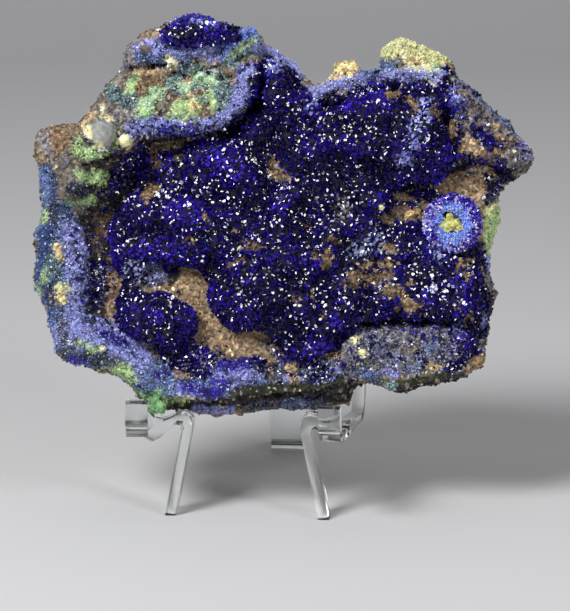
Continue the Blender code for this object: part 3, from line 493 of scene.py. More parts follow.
# Small lumps of the rock: (u, v, depth) of the centre, then the half sizes along u, v and depth
NODULES = [
    ((-24.4, 37.4, 9.7), (1.85, 1.8, 1.8)),
    ((-21.2, 36.6, 10.1), (0.9, 0.95, 0.9)),
    ((-26.6, 35.2, 7.8), (1.6, 1.1, 1.3)),
    ((-26.0, 32.0, 6.6), (1.8, 1.2, 1.3)),
    ((-18.6, 40.8, 9.2), (1.5, 1.9, 0.9)),
    ((-13.6, 40.8, 9.0), (1.9, 1.4, 0.9)),
    ((-30.1, 21.7, 5.4), (0.5, 1.35, 0.8)),
    ((-29.8, 15.6, 4.8), (1.2, 1.1, 1.0)),
    ((-6.2, 5.4, 4.8), (2.2, 1.5, 1.3)),
    ((-16.7, 1.3, 1.8), (1.4, 1.3, 1.4)),
    ((-5.6, 49.4, 8.2), (1.7, 1.1, 1.2)),
    ((-15.0, 47.1, 7.9), (0.9, 0.7, 0.9)),
    ((10.6, 8.4, 5.2), (0.6, 0.5, 0.6)),
    ((25.8, 7.6, 3.6), (1.0, 1.3, 1.2)),
    ((8.6, 45.7, 1.0), (1.9, 1.3, 1.5)),
    ((6.0, 42.0, 2.4), (1.6, 0.9, 1.8)),
    ((8.6, 42.6, 2.2), (1.6, 0.9, 1.8)),
    ((11.4, 43.2, 2.2), (1.6, 0.9, 1.8)),
    ((20.8, 43.6, 2.6), (1.4, 1.2, 2.0)),
    ((22.0, 41.4, 3.0), (1.0, 2.4, 2.0)),
    ((22.3, 37.6, 2.6), (1.0, 2.6, 2.0)),
    ((23.0, 34.8, 2.4), (1.2, 1.4, 1.7)),
]

# The nodules that keep a smooth skin: u, v and radius
SMOOTH_PLACES = [(-24.4, 37.4, 1.8), (-21.2, 36.6, 0.9), (-30.1, 21.7, 0.6), (10.6, 8.4, 0.5)]


class PaletteSettings(PropertyGroup):
    """The colours of the stone's minerals, in the order that the strokes name them."""

    tan: FloatVectorProperty(
        name="Tan", description="Sandy limonite",
        subtype="COLOR", default=(0.44, 0.312, 0.19), min=0, max=1,
    )
    limonite: FloatVectorProperty(
        name="Limonite", description="Brown host rock",
        subtype="COLOR", default=(0.25, 0.19, 0.125), min=0, max=1,
    )
    umber: FloatVectorProperty(
        name="Umber", description="Warm brown rock",
        subtype="COLOR", default=(0.26, 0.165, 0.1), min=0, max=1,
    )
    corner: FloatVectorProperty(
        name="Corner", description="Grey-brown rock",
        subtype="COLOR", default=(0.2, 0.17, 0.15), min=0, max=1,
    )
    grey: FloatVectorProperty(
        name="Grey", description="Grey rock",
        subtype="COLOR", default=(0.24, 0.22, 0.23), min=0, max=1,
    )
    # Black-brown rock, also painted as shade in the hollow, in the crack and under the ledge, the crescent
    # and the ridge
    sootandshade: FloatVectorProperty(
        name="Soot", description="Black-brown rock",
        subtype="COLOR", default=(0.02, 0.015, 0.018), min=0, max=1,
    )
    pale_stone: FloatVectorProperty(
        name="Pale stone", description="Light grey",
        subtype="COLOR", default=(0.5, 0.51, 0.5), min=0, max=1,
    )
    slate: FloatVectorProperty(
        name="Slate", description="Dull blue-grey",
        subtype="COLOR", default=(0.09, 0.1, 0.16), min=0, max=1,
    )
    ash: FloatVectorProperty(
        name="Ash", description="Smooth grey skin",
        subtype="COLOR", default=(0.33, 0.34, 0.33), min=0, max=1,
    )
    frost: FloatVectorProperty(
        name="Frost", description="Grey crust",
        subtype="COLOR", default=(0.3, 0.28, 0.3), min=0, max=1,
    )
    rime: FloatVectorProperty(
        name="Rime", description="Pale grey-blue crust",
        subtype="COLOR", default=(0.29, 0.32, 0.54), min=0, max=1,
    )
    night: FloatVectorProperty(
        name="Night", description="Dark violet crust",
        subtype="COLOR", default=(0.03, 0.027, 0.07), min=0, max=1,
    )
    cream: FloatVectorProperty(
        name="Cream", description="Pale yellow",
        subtype="COLOR", default=(0.95, 0.86, 0.5), min=0, max=1,
    )
    ochre: FloatVectorProperty(
        name="Ochre", description="Yellow-brown",
        subtype="COLOR", default=(0.8, 0.6, 0.3), min=0, max=1,
    )
    straw: FloatVectorProperty(
        name="Straw", description="Clear yellow",
        subtype="COLOR", default=(0.57, 0.55, 0.13), min=0, max=1,
    )
    lime: FloatVectorProperty(
        name="Lime", description="Yellow-green",
        subtype="COLOR", default=(0.74, 0.74, 0.38), min=0, max=1,
    )
    malachite: FloatVectorProperty(
        name="Malachite", description="Light green",
        subtype="COLOR", default=(0.5, 0.68, 0.32), min=0, max=1,
    )
    mint: FloatVectorProperty(
        name="Mint", description="Pale cool green",
        subtype="COLOR", default=(0.54, 0.76, 0.48), min=0, max=1,
    )
    leaf_green: FloatVectorProperty(
        name="Leaf green", description="Malachite, cool",
        subtype="COLOR", default=(0.22, 0.45, 0.2), min=0, max=1,
    )
    moss: FloatVectorProperty(
        name="Moss", description="Dark green",
        subtype="COLOR", default=(0.038, 0.046, 0.02), min=0, max=1,
    )
    turquoise: FloatVectorProperty(
        name="Turquoise", description="Blue-green",
        subtype="COLOR", default=(0.24, 0.36, 0.38), min=0, max=1,
    )
    sky_blue: FloatVectorProperty(
        name="Sky blue", description="Pale clear blue",
        subtype="COLOR", default=(0.17, 0.285, 0.85), min=0, max=1,
    )
    pale_blue: FloatVectorProperty(
        name="Pale blue", description="Fine azurite",
        subtype="COLOR", default=(0.18, 0.25, 0.5), min=0, max=1,
    )
    dusk_blue: FloatVectorProperty(
        name="Dusk blue", description="Dull dark blue",
        subtype="COLOR", default=(0.055, 0.105, 0.29), min=0, max=1,
    )
    lavender: FloatVectorProperty(
        name="Lavender", description="Velvety azurite",
        subtype="COLOR", default=(0.41, 0.44, 1.0), min=0, max=1,
    )
    lilac: FloatVectorProperty(
        name="Lilac", description="Crystal tips",
        subtype="COLOR", default=(0.62, 0.5, 0.95), min=0, max=1,
    )
    violet: FloatVectorProperty(
        name="Violet", description="Vivid azurite",
        subtype="COLOR", default=(0.04, 0.02, 0.42), min=0, max=1,
    )
    indigo: FloatVectorProperty(
        name="Indigo", description="Azurite of the druse",
        subtype="COLOR", default=(0.019, 0.0075, 0.24), min=0, max=1,
    )
    azurite: FloatVectorProperty(
        name="Azurite", description="Deep azurite",
        subtype="COLOR", default=(0.0025, 0.002, 0.012), min=0, max=1,
    )


class StoneSettings(PropertyGroup):
    """Sizes of the rock's and the druse's skins."""

    rock_grain: FloatProperty(
        name="Rock grain", description="Width of the rock's faces",
        default=0.37 * MM, unit="LENGTH", precision=5,
    )
    druse_grain: FloatProperty(
        name="Druse grain", description="Width of the druse's faces",
        default=0.4 * MM, unit="LENGTH", precision=5,
    )
    knob_relief: FloatProperty(
        name="Knob relief", description="Height of the rims' round knobs",
        default=0.55 * MM, unit="LENGTH", precision=5,
    )
    break_relief: FloatProperty(
        name="Break relief", description="Height of the broken faces' lumps",
        default=0.5 * MM, unit="LENGTH", precision=5,
    )
    fine_relief: FloatProperty(
        name="Fine relief", description="Height of the fine roughness",
        default=0.24 * MM, unit="LENGTH", precision=5,
    )
    swell: FloatProperty(
        name="Swell", description="Height of the druse's swells",
        default=1.5 * MM, unit="LENGTH", precision=5,
    )


class CrystalSettings(PropertyGroup):
    """How the crystals grow."""

    length: FloatProperty(
        name="Length", description="Usual length of an azurite crystal",
        default=0.55 * MM, unit="LENGTH", precision=5,
    )
    width: FloatProperty(
        name="Width", description="Usual width of an azurite crystal",
        default=0.5 * MM, unit="LENGTH", precision=5,
    )
    spacing: FloatProperty(
        name="Spacing", description="Distance between azurite crystals",
        default=0.39 * MM, unit="LENGTH", precision=5,
    )
    lean: FloatProperty(
        name="Lean", description="Furthest a crystal leans", default=math.radians(42), subtype="ANGLE"
    )
    grain: FloatProperty(
        name="Grain", description="Usual size of the fine coatings' grains",
        default=0.25 * MM, unit="LENGTH", precision=5,
    )
    crumb: FloatProperty(
        name="Crumb", description="Usual size of the bare rock's crumbs",
        default=0.46 * MM, unit="LENGTH", precision=5,
    )
    sparkle: FloatProperty(
        name="Sparkle", description="Share of the crystals whose faces lie parallel",
        default=0.38, subtype="FACTOR",
    )
    seed: IntProperty(name="Seed", description="Starts the random draws", default=7)


class EaselSettings(PropertyGroup):
    """The clear easel's plastic."""

    tint: FloatVectorProperty(
        name="Tint", description="Colour of the plastic",
        subtype="COLOR", default=(0.97, 0.985, 0.98), min=0, max=1,
    )
    edge: FloatProperty(
        name="Edge", description="Radius of the softened edges",
        default=0.22 * MM, unit="LENGTH", precision=5,
    )


class StageSettings(PropertyGroup):
    """The studio: floor, lights and camera."""

    floor_size: FloatProperty(name="Floor", description="Width of the floor", default=1.6, unit="LENGTH")
    floor_colour: FloatVectorProperty(
        name="Floor colour", description="Pale plain floor",
        subtype="COLOR", default=(0.72, 0.72, 0.73), min=0, max=1,
    )
    key_power: FloatProperty(name="Key", description="Power of the key light", default=3.4, unit="POWER")
    fill_power: FloatProperty(name="Fill", description="Power of the fill light", default=0.9, unit="POWER")
    overhead_power: FloatProperty(
        name="Overhead", description="Power of the large overhead panel", default=2.0, unit="POWER"
    )
    elevation: FloatProperty(
        name="Elevation", description="Camera above the horizon", default=math.radians(12), subtype="ANGLE"
    )
    distance: FloatProperty(name="Distance", description="Camera to stone", default=0.42, unit="LENGTH")
    lens: FloatProperty(name="Lens", description="Focal length in millimetres", default=185.0)


# ---------------------------------------------------------------- the stone's frame and its paint


def lean_matrix():
    return Matrix.Rotation(-LEAN, 3, "X")


# The way that the stone's face looks
TOWARDS = np.array(lean_matrix() @ Vector((0.0, -1.0, 0.0)))


def in_world(u, v, depth):
    """A point of the stone's frame, in metres of the shared frame."""
    return lean_matrix() @ (Vector((u, -depth, v)) * MM) + STONE_AT


def in_stone(points):
    """(n, 3) points in metres as (n, 3) of u, v and depth in millimetres."""
    local = (np.asarray(points) - np.array(STONE_AT)) @ np.array(lean_matrix()) / MM
    return np.column_stack((local[:, 0], local[:, 2], -local[:, 1]))


def view_scale(depth):
    """How much larger than true the eye in front sees things at a depth."""
    return (EYE_DEPTH - TRUE_DEPTH) / (EYE_DEPTH - depth)


def as_seen(flat):
    """The (u, v) where the eye in front sees each place."""
    return np.array(VIEW_MIDDLE) + (flat[:, :2] - np.array(VIEW_MIDDLE)) * view_scale(flat[:, 2:3])


def smooth_step(low, high, x):
    t = np.clip((x - low) / (high - low), 0.0, 1.0)
    return t * t * (3.0 - 2.0 * t)


def distance_to_path(places, path):
    """Distance in the view from each place to a path of straight runs."""
    places = as_seen(places)
    best = np.full(len(places), np.inf)
    for (u0, v0), (u1, v1) in zip(path, path[1:]):
        run_u, run_v = u1 - u0, v1 - v0
        length = max(run_u * run_u + run_v * run_v, 1e-9)
        t = np.clip(((places[:, 0] - u0) * run_u + (places[:, 1] - v0) * run_v) / length, 0.0, 1.0)
        best = np.minimum(best, np.hypot(places[:, 0] - u0 - t * run_u, places[:, 1] - v0 - t * run_v))
    return best


def wander(places, size, seed):
    """Smooth noise between -1 and 1 at each place, with lumps of the given size in millimetres."""
    shift = Vector((seed * 17.3, seed * 5.1, seed * 9.7))
    return np.array([noise.noise(Vector(place) / size + shift) for place in places])


def brush(places, radius, path, ragged, softness=0.25):
    """How much of a stroke covers each place, its edge made ragged by the given noise."""
    return 1.0 - smooth_step(-softness, softness, distance_to_path(places, path) - radius + ragged)


def palette():
    """Each finish's linear colour by the name that the strokes use."""
    held = bpy.context.scene.specimen_palette
    return {name.replace("_", " "): np.array(getattr(held, name)) for name in PaletteSettings.__annotations__}


def bare_rock(places):
    """The limonite under everything: brown, with sandy and dark lumps."""
    colours = palette()
    sandy = smooth_step(-0.1, 0.5, wander(places, 3.0, 1) + 0.5 * wander(places, 0.9, 2))
    dark = smooth_step(0.05, 0.6, wander(places, 2.2, 3) + 0.5 * wander(places, 0.7, 4))
    colour = colours["limonite"] + (colours["tan"] - colours["limonite"])[None, :] * sandy[:, None] * 0.7
    return colour + (colours["sootandshade"] * 2.2 - colour) * dark[:, None] * 0.75


def led_astray(places):
    """The places moved about behind the outer sides' fronts, and how far behind each one is, from 0 to 1."""
    start = np.full(len(places), -3.0)
    for width, depth, path in OUTER_SIDES:
        start += (depth - start) * brush(places, width, path, 0.0, softness=0.5)
    behind = 1.0 - smooth_step(-5.0, 0.0, places[:, 2] - start)
    moved = places.copy()
    for side, seed in ((0, 35), (1, 36)):
        moved[:, side] += 9.0 * behind * wander(places, 3.6, seed)
    return moved, behind


def painted(places, strokes=STROKES):
    """The stone's colour at each place, and how much blue coat, green coat and frost it has there."""
    colours = palette()
    colour = bare_rock(places)
    ragged = 0.55 * wander(places, 1.1, 5) + 0.35 * wander(places, 0.4, 6)
    moved, behind = led_astray(places)
    front = smooth_step(-6.5, -3.5, places[:, 2] + (1.5 + 5.0 * behind) * wander(places, 2.4, 7))
    blue, green, frost = np.zeros((3, len(places)))
    for finish, radius, path in strokes:
        cover = brush(moved, radius, path, ragged * min(1.0, radius)) * front
        colour = colour + (colours[finish] - colour) * cover[:, None]
        is_blue = finish in BLUE_COATS
        is_green = finish in GREEN_COATS
        blue += ((0.85 if finish == "frost" else 1.0) * is_blue - blue) * cover
        green += (is_green - green) * cover
        frost += ((finish in FROSTED) - frost) * cover
    return colour, blue, green, frost


def swell(places):
    """The broad swells of the druse: its cushions' crests above 0, the clefts between them below."""
    return wander(places, 3.4, 31)


def windows(places):
    """How bare of crystals the druse is at each place."""
    ragged = 0.3 * wander(places, 0.8, 8) + 0.2 * wander(places, 0.35, 9)
    bare = np.zeros(len(places))
    for radius, path in WINDOWS:
        bare = np.maximum(bare, brush(places, radius, path, ragged * min(1.0, radius), softness=0.12))
    return bare


# ---------------------------------------------------------------- mesh helpers


def select_only(obj):
    bpy.ops.object.select_all(action="DESELECT")
    obj.select_set(True)
    bpy.context.view_layer.objects.active = obj


def apply_modifiers(obj):
    select_only(obj)
    for name in [modifier.name for modifier in obj.modifiers]:
        bpy.ops.object.modifier_apply(modifier=name)


def keep_place_in_mesh(obj):
    select_only(obj)
    bpy.ops.object.transform_apply(location=True, rotation=True, scale=True)


def copy_of_node(node, name):
    """A new piece with a CAD node's shape, its loose triangles joined."""
    obj = bpy.data.objects.new(name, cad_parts[node].data.copy())
    obj.data.name = name
    bpy.context.scene.collection.objects.link(obj)
    obj.data.materials.clear()
    select_only(obj)
    bpy.ops.object.mode_set(mode="EDIT")
    bpy.ops.mesh.select_all(action="SELECT")
    bpy.ops.mesh.remove_doubles(threshold=1e-6)
    bpy.ops.object.mode_set(mode="OBJECT")
    return obj


def add_nodule(centre, half_sizes):
    """A squashed ball on the stone: its centre as seen from the front, with its depth."""
    middle, depth = np.array(VIEW_MIDDLE), centre[2]
    u, v = middle + (np.array(centre[:2]) - middle) / view_scale(depth)
    bpy.ops.mesh.primitive_ico_sphere_add(subdivisions=4, radius=MM, location=in_world(u, v, depth))
    nodule = bpy.context.object
    along_u, along_v, along_depth = half_sizes
    nodule.scale = (along_u, along_depth, along_v)
    nodule.rotation_euler.x = -LEAN
    keep_place_in_mesh(nodule)
    return nodule


def join(pieces):
    bpy.ops.object.select_all(action="DESELECT")
    for piece in pieces:
        piece.select_set(True)
    bpy.context.view_layer.objects.active = pieces[0]
    bpy.ops.object.join()
    return pieces[0]


def vertex_places(obj):
    places = np.empty(len(obj.data.vertices) * 3, dtype=np.float32)
    obj.data.vertices.foreach_get("co", places)
    return places.reshape(-1, 3).astype(float)


def vertex_normals(obj):
    normals = np.empty(len(obj.data.vertices) * 3, dtype=np.float32)
    obj.data.vertex_normals.foreach_get("vector", normals)
    return normals.reshape(-1, 3).astype(float)


def move_vertices(obj, places):
    obj.data.vertices.foreach_set("co", places.astype(np.float32).ravel())
    obj.data.update()


def weight(obj, group, weights):
    """A vertex group with a weight for every vertex."""
    made = obj.vertex_groups.new(name=group)
    for index, value in enumerate(weights):
        made.add([index], float(value), "REPLACE")


def relief(obj, kind, size, height, group="", depth=2, middle=0.5):
    """Raises the surface by a procedural texture with lumps of the given size."""
    texture = bpy.data.textures.new(kind, kind)
    texture.noise_scale = size
    if kind == "CLOUDS":
        texture.noise_depth = depth
    modifier = obj.modifiers.new("Relief", "DISPLACE")
    modifier.texture = texture
    modifier.texture_coords = "LOCAL"
    modifier.strength = height
    modifier.mid_level = middle
    modifier.vertex_group = group
    apply_modifiers(obj)


def set_paint(obj, colour, grainy=1.0):
    """Stores each vertex's colour for the finishes, with its graininess as the alpha."""
    paint = obj.data.attributes.new("paint", "FLOAT_COLOR", "POINT")
    rgba = np.column_stack((np.clip(colour, 0.0, 1.0), np.broadcast_to(grainy, len(colour))))
    paint.data.foreach_set("color", rgba.astype(np.float32).ravel())


def dress(obj, material, replaced=()):
    """Gives a finished piece its finish and its body, and hides the CAD nodes that it replaces."""
    obj.data.materials.clear()
    obj.data.materials.append(material)
    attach(obj, BODY)
    if replaced:
        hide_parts(*replaced)


# ---------------------------------------------------------------- finishes


def new_finish(name):
    """A new material, its node tree, its links and its Principled shader."""
    material = bpy.data.materials.new(name)
    material.use_nodes = True
    tree = material.node_tree
    return material, tree, tree.nodes["Principled BSDF"]


def add_node(tree, kind, **values):
    node = tree.nodes.new(kind)
    for name, value in values.items():
        setattr(node, name, value)
    return node


def noise_node(tree, size, detail=4.0, roughness=0.6):
    """Noise on Object coordinates, with lumps of the given size in metres."""
    where = add_node(tree, "ShaderNodeTexCoord")
    made = add_node(tree, "ShaderNodeTexNoise")
    made.inputs["Scale"].default_value = 1.0 / size
    made.inputs["Detail"].default_value = detail
    made.inputs["Roughness"].default_value = roughness
    tree.links.new(where.outputs["Object"], made.inputs["Vector"])
    return made


def remap(tree, value, low, high, to_low, to_high):
    made = add_node(tree, "ShaderNodeMapRange")
    for name, number in zip(("From Min", "From Max", "To Min", "To Max"), (low, high, to_low, to_high)):
        made.inputs[name].default_value = number
    tree.links.new(value, made.inputs["Value"])
    return made.outputs["Result"]


def multiply_colour(tree, colour, factor):
    made = add_node(tree, "ShaderNodeVectorMath", operation="SCALE")
    tree.links.new(colour, made.inputs[0])
    tree.links.new(factor, made.inputs["Scale"])
    return made.outputs["Vector"]


def bump(tree, shader, height, distance, strength=1.0):
    made = add_node(tree, "ShaderNodeBump")
    made.inputs["Distance"].default_value = distance
    made.inputs["Strength"].default_value = strength
    tree.links.new(height, made.inputs["Height"])
    tree.links.new(made.outputs["Normal"], shader.inputs["Normal"])


def grain_node(tree, size):
    """Grains of the given size in metres: the value is each grain's own."""
    where = add_node(tree, "ShaderNodeTexCoord")
    cells = add_node(tree, "ShaderNodeTexVoronoi")
    cells.inputs["Scale"].default_value = 1.0 / size
    tree.links.new(where.outputs["Object"], cells.inputs["Vector"])
    parts = add_node(tree, "ShaderNodeSeparateColor")
    tree.links.new(cells.outputs["Color"], parts.inputs["Color"])
    return parts.outputs["Red"]


def rock_finish():
    """Granular rock: the paint, broken up by fine light and dark grains, with pits in its bump."""
    material, tree, shader = new_finish("granular rock")
    paint = add_node(tree, "ShaderNodeAttribute", attribute_name="paint")
    fine = noise_node(tree, ROCK_GRIT, detail=3.0, roughness=0.7)
    coarse = noise_node(tree, ROCK_CLOUDS, detail=4.0)
    grains = add_node(tree, "ShaderNodeMix")
    tree.links.new(paint.outputs["Alpha"], grains.inputs["Factor"])
    grains.inputs["A"].default_value = 1.0
    tree.links.new(remap(tree, grain_node(tree, ROCK_GRAINS), 0.0, 1.0, 0.5, 1.42), grains.inputs["B"])
    lumps = remap(tree, coarse.outputs["Fac"], 0.35, 0.65, 0.72, 1.2)
    shade = multiply_colour(tree, paint.outputs["Color"], grains.outputs["Result"])
    shade = multiply_colour(tree, shade, lumps)
    tree.links.new(shade, shader.inputs["Base Color"])
    tree.links.new(remap(tree, fine.outputs["Fac"], 0.3, 0.75, 0.95, 0.6), shader.inputs["Roughness"])
    bump(tree, shader, fine.outputs["Fac"], 0.00012)
    return material


def crystal_finish(name, roughness, ior, specular=0.5, wear=0.15):
    """Glassy crystals: each has its own paint, a little uneven inside."""
    material, tree, shader = new_finish(name)
    paint = add_node(tree, "ShaderNodeAttribute", attribute_name="paint")
    cloud = noise_node(tree, CRYSTAL_CLOUDS, detail=2.0)
    patchy = remap(tree, cloud.outputs["Fac"], 0.3, 0.7, 0.8, 1.2)
    shade = multiply_colour(tree, paint.outputs["Color"], patchy)
    tree.links.new(shade, shader.inputs["Base Color"])
    wear_and_relief_shading = noise_node(tree, CRYSTAL_WEAR, detail=1.0)
    rough = remap(tree, wear_and_relief_shading.outputs["Fac"], 0.46, 0.68, roughness, roughness + wear)
    tree.links.new(rough, shader.inputs["Roughness"])
    shader.inputs["IOR"].default_value = ior
    shader.inputs["Specular IOR Level"].default_value = specular
    return material


def acrylic_finish():
    """Clear plastic with faint scuffs on its gloss."""
    settings = bpy.context.scene.specimen_easel
    material, tree, shader = new_finish("clear acrylic")
    shader.inputs["Base Color"].default_value = (*settings.tint, 1.0)
    shader.inputs["Transmission Weight"].default_value = 1.0
    shader.inputs["IOR"].default_value = 1.49
    scuffs = noise_node(tree, ACRYLIC_SCUFFS, detail=5.0, roughness=0.7)
    tree.links.new(remap(tree, scuffs.outputs["Fac"], 0.45, 0.75, 0.03, 0.2), shader.inputs["Roughness"])
    bump(tree, shader, scuffs.outputs["Fac"], 0.00003, strength=0.4)
    return material


def plain_finish(name, colour, roughness):
    material, _, shader = new_finish(name)
    shader.inputs["Base Color"].default_value = (*colour, 1.0)
    shader.inputs["Roughness"].default_value = roughness
    return material


# ---------------------------------------------------------------- crystals


def model_crystal(name, sides, flatness, cuts):
    """A crystal standing on the origin, one unit high: a prism whose tip is cut by slanting planes.

    Each cut is its height, how far it slants and the way that it faces, both in degrees.
    """
    bpy.ops.object.select_all(action="DESELECT")
    bpy.ops.mesh.primitive_cylinder_add(
        vertices=sides, radius=0.5, depth=1.4, end_fill_type="NGON", location=(0, 0, 0.6)
    )
    crystal = bpy.context.object
    crystal.name = name
    crystal.scale.y = flatness
    keep_place_in_mesh(crystal)
    bpy.ops.object.mode_set(mode="EDIT")
    for height, slant, facing in cuts:
        bpy.ops.mesh.select_all(action="SELECT")
        tilt, turn = math.radians(slant), math.radians(facing)
        normal = (math.sin(tilt) * math.cos(turn), math.sin(tilt) * math.sin(turn), math.cos(tilt))
        bpy.ops.mesh.bisect(plane_co=(0, 0, height), plane_no=normal, use_fill=True, clear_outer=True)
    bpy.ops.mesh.select_all(action="SELECT")
    bpy.ops.mesh.bisect(plane_co=(0, 0, -0.05), plane_no=(0, 0, -1), use_fill=False, clear_outer=True)
    bpy.ops.object.mode_set(mode="OBJECT")
    return crystal


def spots(ground, spacing, density, random):
    """About one place on a piece in every cell of a size: the points, their normals and (u, v, depth)."""
    mesh = ground.data
    mesh.calc_loop_triangles()
    corners = np.empty(len(mesh.loop_triangles) * 3, dtype=np.int32)
    mesh.loop_triangles.foreach_get("vertices", corners)
    corners = corners.reshape(-1, 3)
    points = vertex_places(ground)[corners]
    normals = vertex_normals(ground)[corners].mean(axis=1)
    across = np.cross(points[:, 1] - points[:, 0], points[:, 2] - points[:, 0])
    areas = np.linalg.norm(across, axis=1) / 2
    keep = density(in_stone(points.mean(axis=1)), normals @ TOWARDS)
    areas = areas * np.clip(keep, 0.0, 1.0)
    tries = int(3.0 * areas.sum() / spacing**2)
    chosen = random.choice(len(areas), size=tries, p=areas / areas.sum())
    a, b = np.sqrt(random.random(tries)), random.random(tries)
    parts = np.column_stack((1 - a, a * (1 - b), a * b))
    spot = (points[chosen] * parts[:, :, None]).sum(axis=1)
    cells = np.floor(spot / spacing).astype(np.int64)
    first = np.sort(np.unique(cells, axis=0, return_index=True)[1])
    spot, normal = spot[first], normals[chosen][first]
    normal /= np.linalg.norm(normal, axis=1)[:, None]
    return spot, normal, in_stone(spot)


def open_spots(bed, cover, spacing, density, random):
    """The places on a piece that the cover lying over it doesn't hide."""
    found = spots(bed, spacing, density, random)
    tree = BVHTree.FromObject(cover, bpy.context.evaluated_depsgraph_get())
    open_to_view = [tree.ray_cast(Vector(place), Vector(TOWARDS))[0] is None for place in found[0]]
    return [part[open_to_view] for part in found]


def turned_axes(normal, lean, random):
    """A frame for each crystal: its long axis near the normal, its sides turned at random."""
    count = len(normal)
    aside = random.normal(size=(count, 3))
    aside -= normal * (aside * normal).sum(axis=1)[:, None]
    aside /= np.linalg.norm(aside, axis=1)[:, None]
    angle = lean * np.sqrt(random.random(count))
    axis = normal * np.cos(angle)[:, None] + aside * np.sin(angle)[:, None]
    side = np.cross(axis, random.normal(size=(count, 3)))
    side /= np.linalg.norm(side, axis=1)[:, None]
    return np.stack((side, np.cross(axis, side), axis), axis=1)


def parallel_axes(spot, scales, random):
    """A frame for each facet crystal that turns its one tip face halfway between the viewer and a light."""
    slant = math.radians(FACET_SLANT)
    count = len(spot)
    level = np.zeros(count)
    face = np.column_stack((math.sin(slant) / scales[:, 0], level, math.cos(slant) / scales[:, 2]))
    face /= np.linalg.norm(face, axis=1)[:, None]
    side = np.tile((0.0, -1.0, 0.0), (count, 1))
    local = np.stack((face, side, np.cross(face, side)), axis=1)
    from_key = random.random(count) < KEY_SHARE
    lights = np.where(from_key[:, None], LIGHT_PLACES["key"], LIGHT_PLACES["fill"]) - spot
    half = lights / np.linalg.norm(lights, axis=1)[:, None] + TOWARDS
    half = half / np.linalg.norm(half, axis=1)[:, None] + random.normal(0.0, 0.06, size=(count, 3))
    half /= np.linalg.norm(half, axis=1)[:, None]
    across = np.cross(half, random.normal(size=(count, 3)))
    across /= np.linalg.norm(across, axis=1)[:, None]
    world = np.stack((half, across, np.cross(half, across)), axis=1)
    return np.einsum("nji,njk->nik", local, world)


def plant(name, shapes, spot, axes, scales, colour):
    """One joined piece with a crystal at each spot, in its own frame and scale. The shapes take turns."""
    points, corners, sizes, shades, used = [], [], [], [], 0
    turn = np.arange(len(spot)) % len(shapes)
    for index, shape in enumerate(shapes):
        mine = turn == index
        outline = vertex_places(shape)
        faces = [list(face.vertices) for face in shape.data.polygons]
        copies = (outline[None, :, :] * scales[mine][:, None, :]) @ axes[mine] + spot[mine][:, None, :]
        steps = used + np.arange(mine.sum()) * len(outline)
        corners.append((np.concatenate(faces)[None, :] + steps[:, None]).ravel())
        sizes.append(np.tile([len(face) for face in faces], mine.sum()))
        points.append(copies.reshape(-1, 3))
        shades.append(np.repeat(colour[mine], len(outline), axis=0))
        used += copies.shape[0] * copies.shape[1]
    points, corners, sizes = np.concatenate(points), np.concatenate(corners), np.concatenate(sizes)
    made = bpy.data.meshes.new(name)
    made.vertices.add(len(points))
    made.vertices.foreach_set("co", points.astype(np.float32).ravel())
    made.loops.add(len(corners))
    made.loops.foreach_set("vertex_index", corners.astype(np.int32))
    made.polygons.add(len(sizes))
    starts = np.concatenate(([0], np.cumsum(sizes)[:-1]))
    made.polygons.foreach_set("loop_start", starts.astype(np.int32))
    made.update(calc_edges=True)
    made.validate()
    made.shade_flat()
    obj = bpy.data.objects.new(name, made)
    bpy.context.scene.collection.objects.link(obj)
    set_paint(obj, np.concatenate(shades))
    return obj


def plant_in_parts(name, bounds, shapes, spot, axes, scales, colour, finish):
    """Plants crystals as several pieces side by side, parted at the given u."""
    across = in_stone(spot)[:, 0]
    for number, (low, high) in enumerate(zip(bounds, bounds[1:]), start=1):
        here = (across >= low) & (across < high)
        piece = plant(f"{name}_{number}", shapes, spot[here], axes[here], scales[here], colour[here])
        dress(piece, finish)


def sizes_of(count, size, stretch, random, spread=0.28):
    """Width, thickness and length for each of a number of crystals, none of them oversized."""
    width = size * np.minimum(np.exp(random.normal(0.0, spread, size=count)), WIDEST)
    return np.column_stack((width, width * random.uniform(0.7, 1.0, size=count), width * stretch))


def rooted(spot, normal, size, share=0.3):
    """The spots sunk into their ground by a share of the crystals' size, so that no foot shows."""
    return spot - normal * (share * size)


def uneven(colour, spread, random, middle=0.0):
    """Each crystal's colour made lighter or darker by chance."""
    return colour * np.exp(random.normal(middle, spread, size=len(colour)))[:, None]


def discard(objects):
    for obj in objects:
        bpy.data.objects.remove(obj, do_unlink=True)


# ---------------------------------------------------------------- the rock and the druse's ground


def reskin(obj, grain, rounds=0):
    """Gives joined shapes one even skin, smoothed over by a number of rounds."""
    skin = obj.modifiers.new("Skin", "REMESH")
    skin.mode = "VOXEL"
    skin.voxel_size = grain
    if rounds:
        soften = obj.modifiers.new("Soften", "SMOOTH")
        soften.factor = 0.5
        soften.iterations = rounds
    apply_modifiers(obj)


def sunken(obj, rounds=3):
    """How far each vertex lies below its neighbours, in millimetres: above 0 in pits, below 0 on crests."""
    mesh = obj.data
    pairs = np.empty(len(mesh.edges) * 2, dtype=np.int32)
    mesh.edges.foreach_get("vertices", pairs)
    first, second = pairs.reshape(-1, 2).T
    places = vertex_places(obj)
    count = len(places)
    near = places
    for _ in range(rounds):
        total = [
            np.bincount(first, near[second, axis], count) + np.bincount(second, near[first, axis], count)
            for axis in range(3)
        ]
        meetings = np.bincount(first, minlength=count) + np.bincount(second, minlength=count)
        near = np.column_stack(total) / np.maximum(meetings, 1)[:, None]
    return ((near - places) * vertex_normals(obj)).sum(axis=1) / MM


def on_smooth_places(flat):
    """How much each place belongs to a nodule with a smooth skin."""
    seen = as_seen(flat)
    away = [np.hypot(seen[:, 0] - u, seen[:, 1] - v) / radius for u, v, radius in SMOOTH_PLACES]
    return (1.0 - smooth_step(0.8, 1.2, np.min(away, axis=0))) * (flat[:, 2] > 0.0)


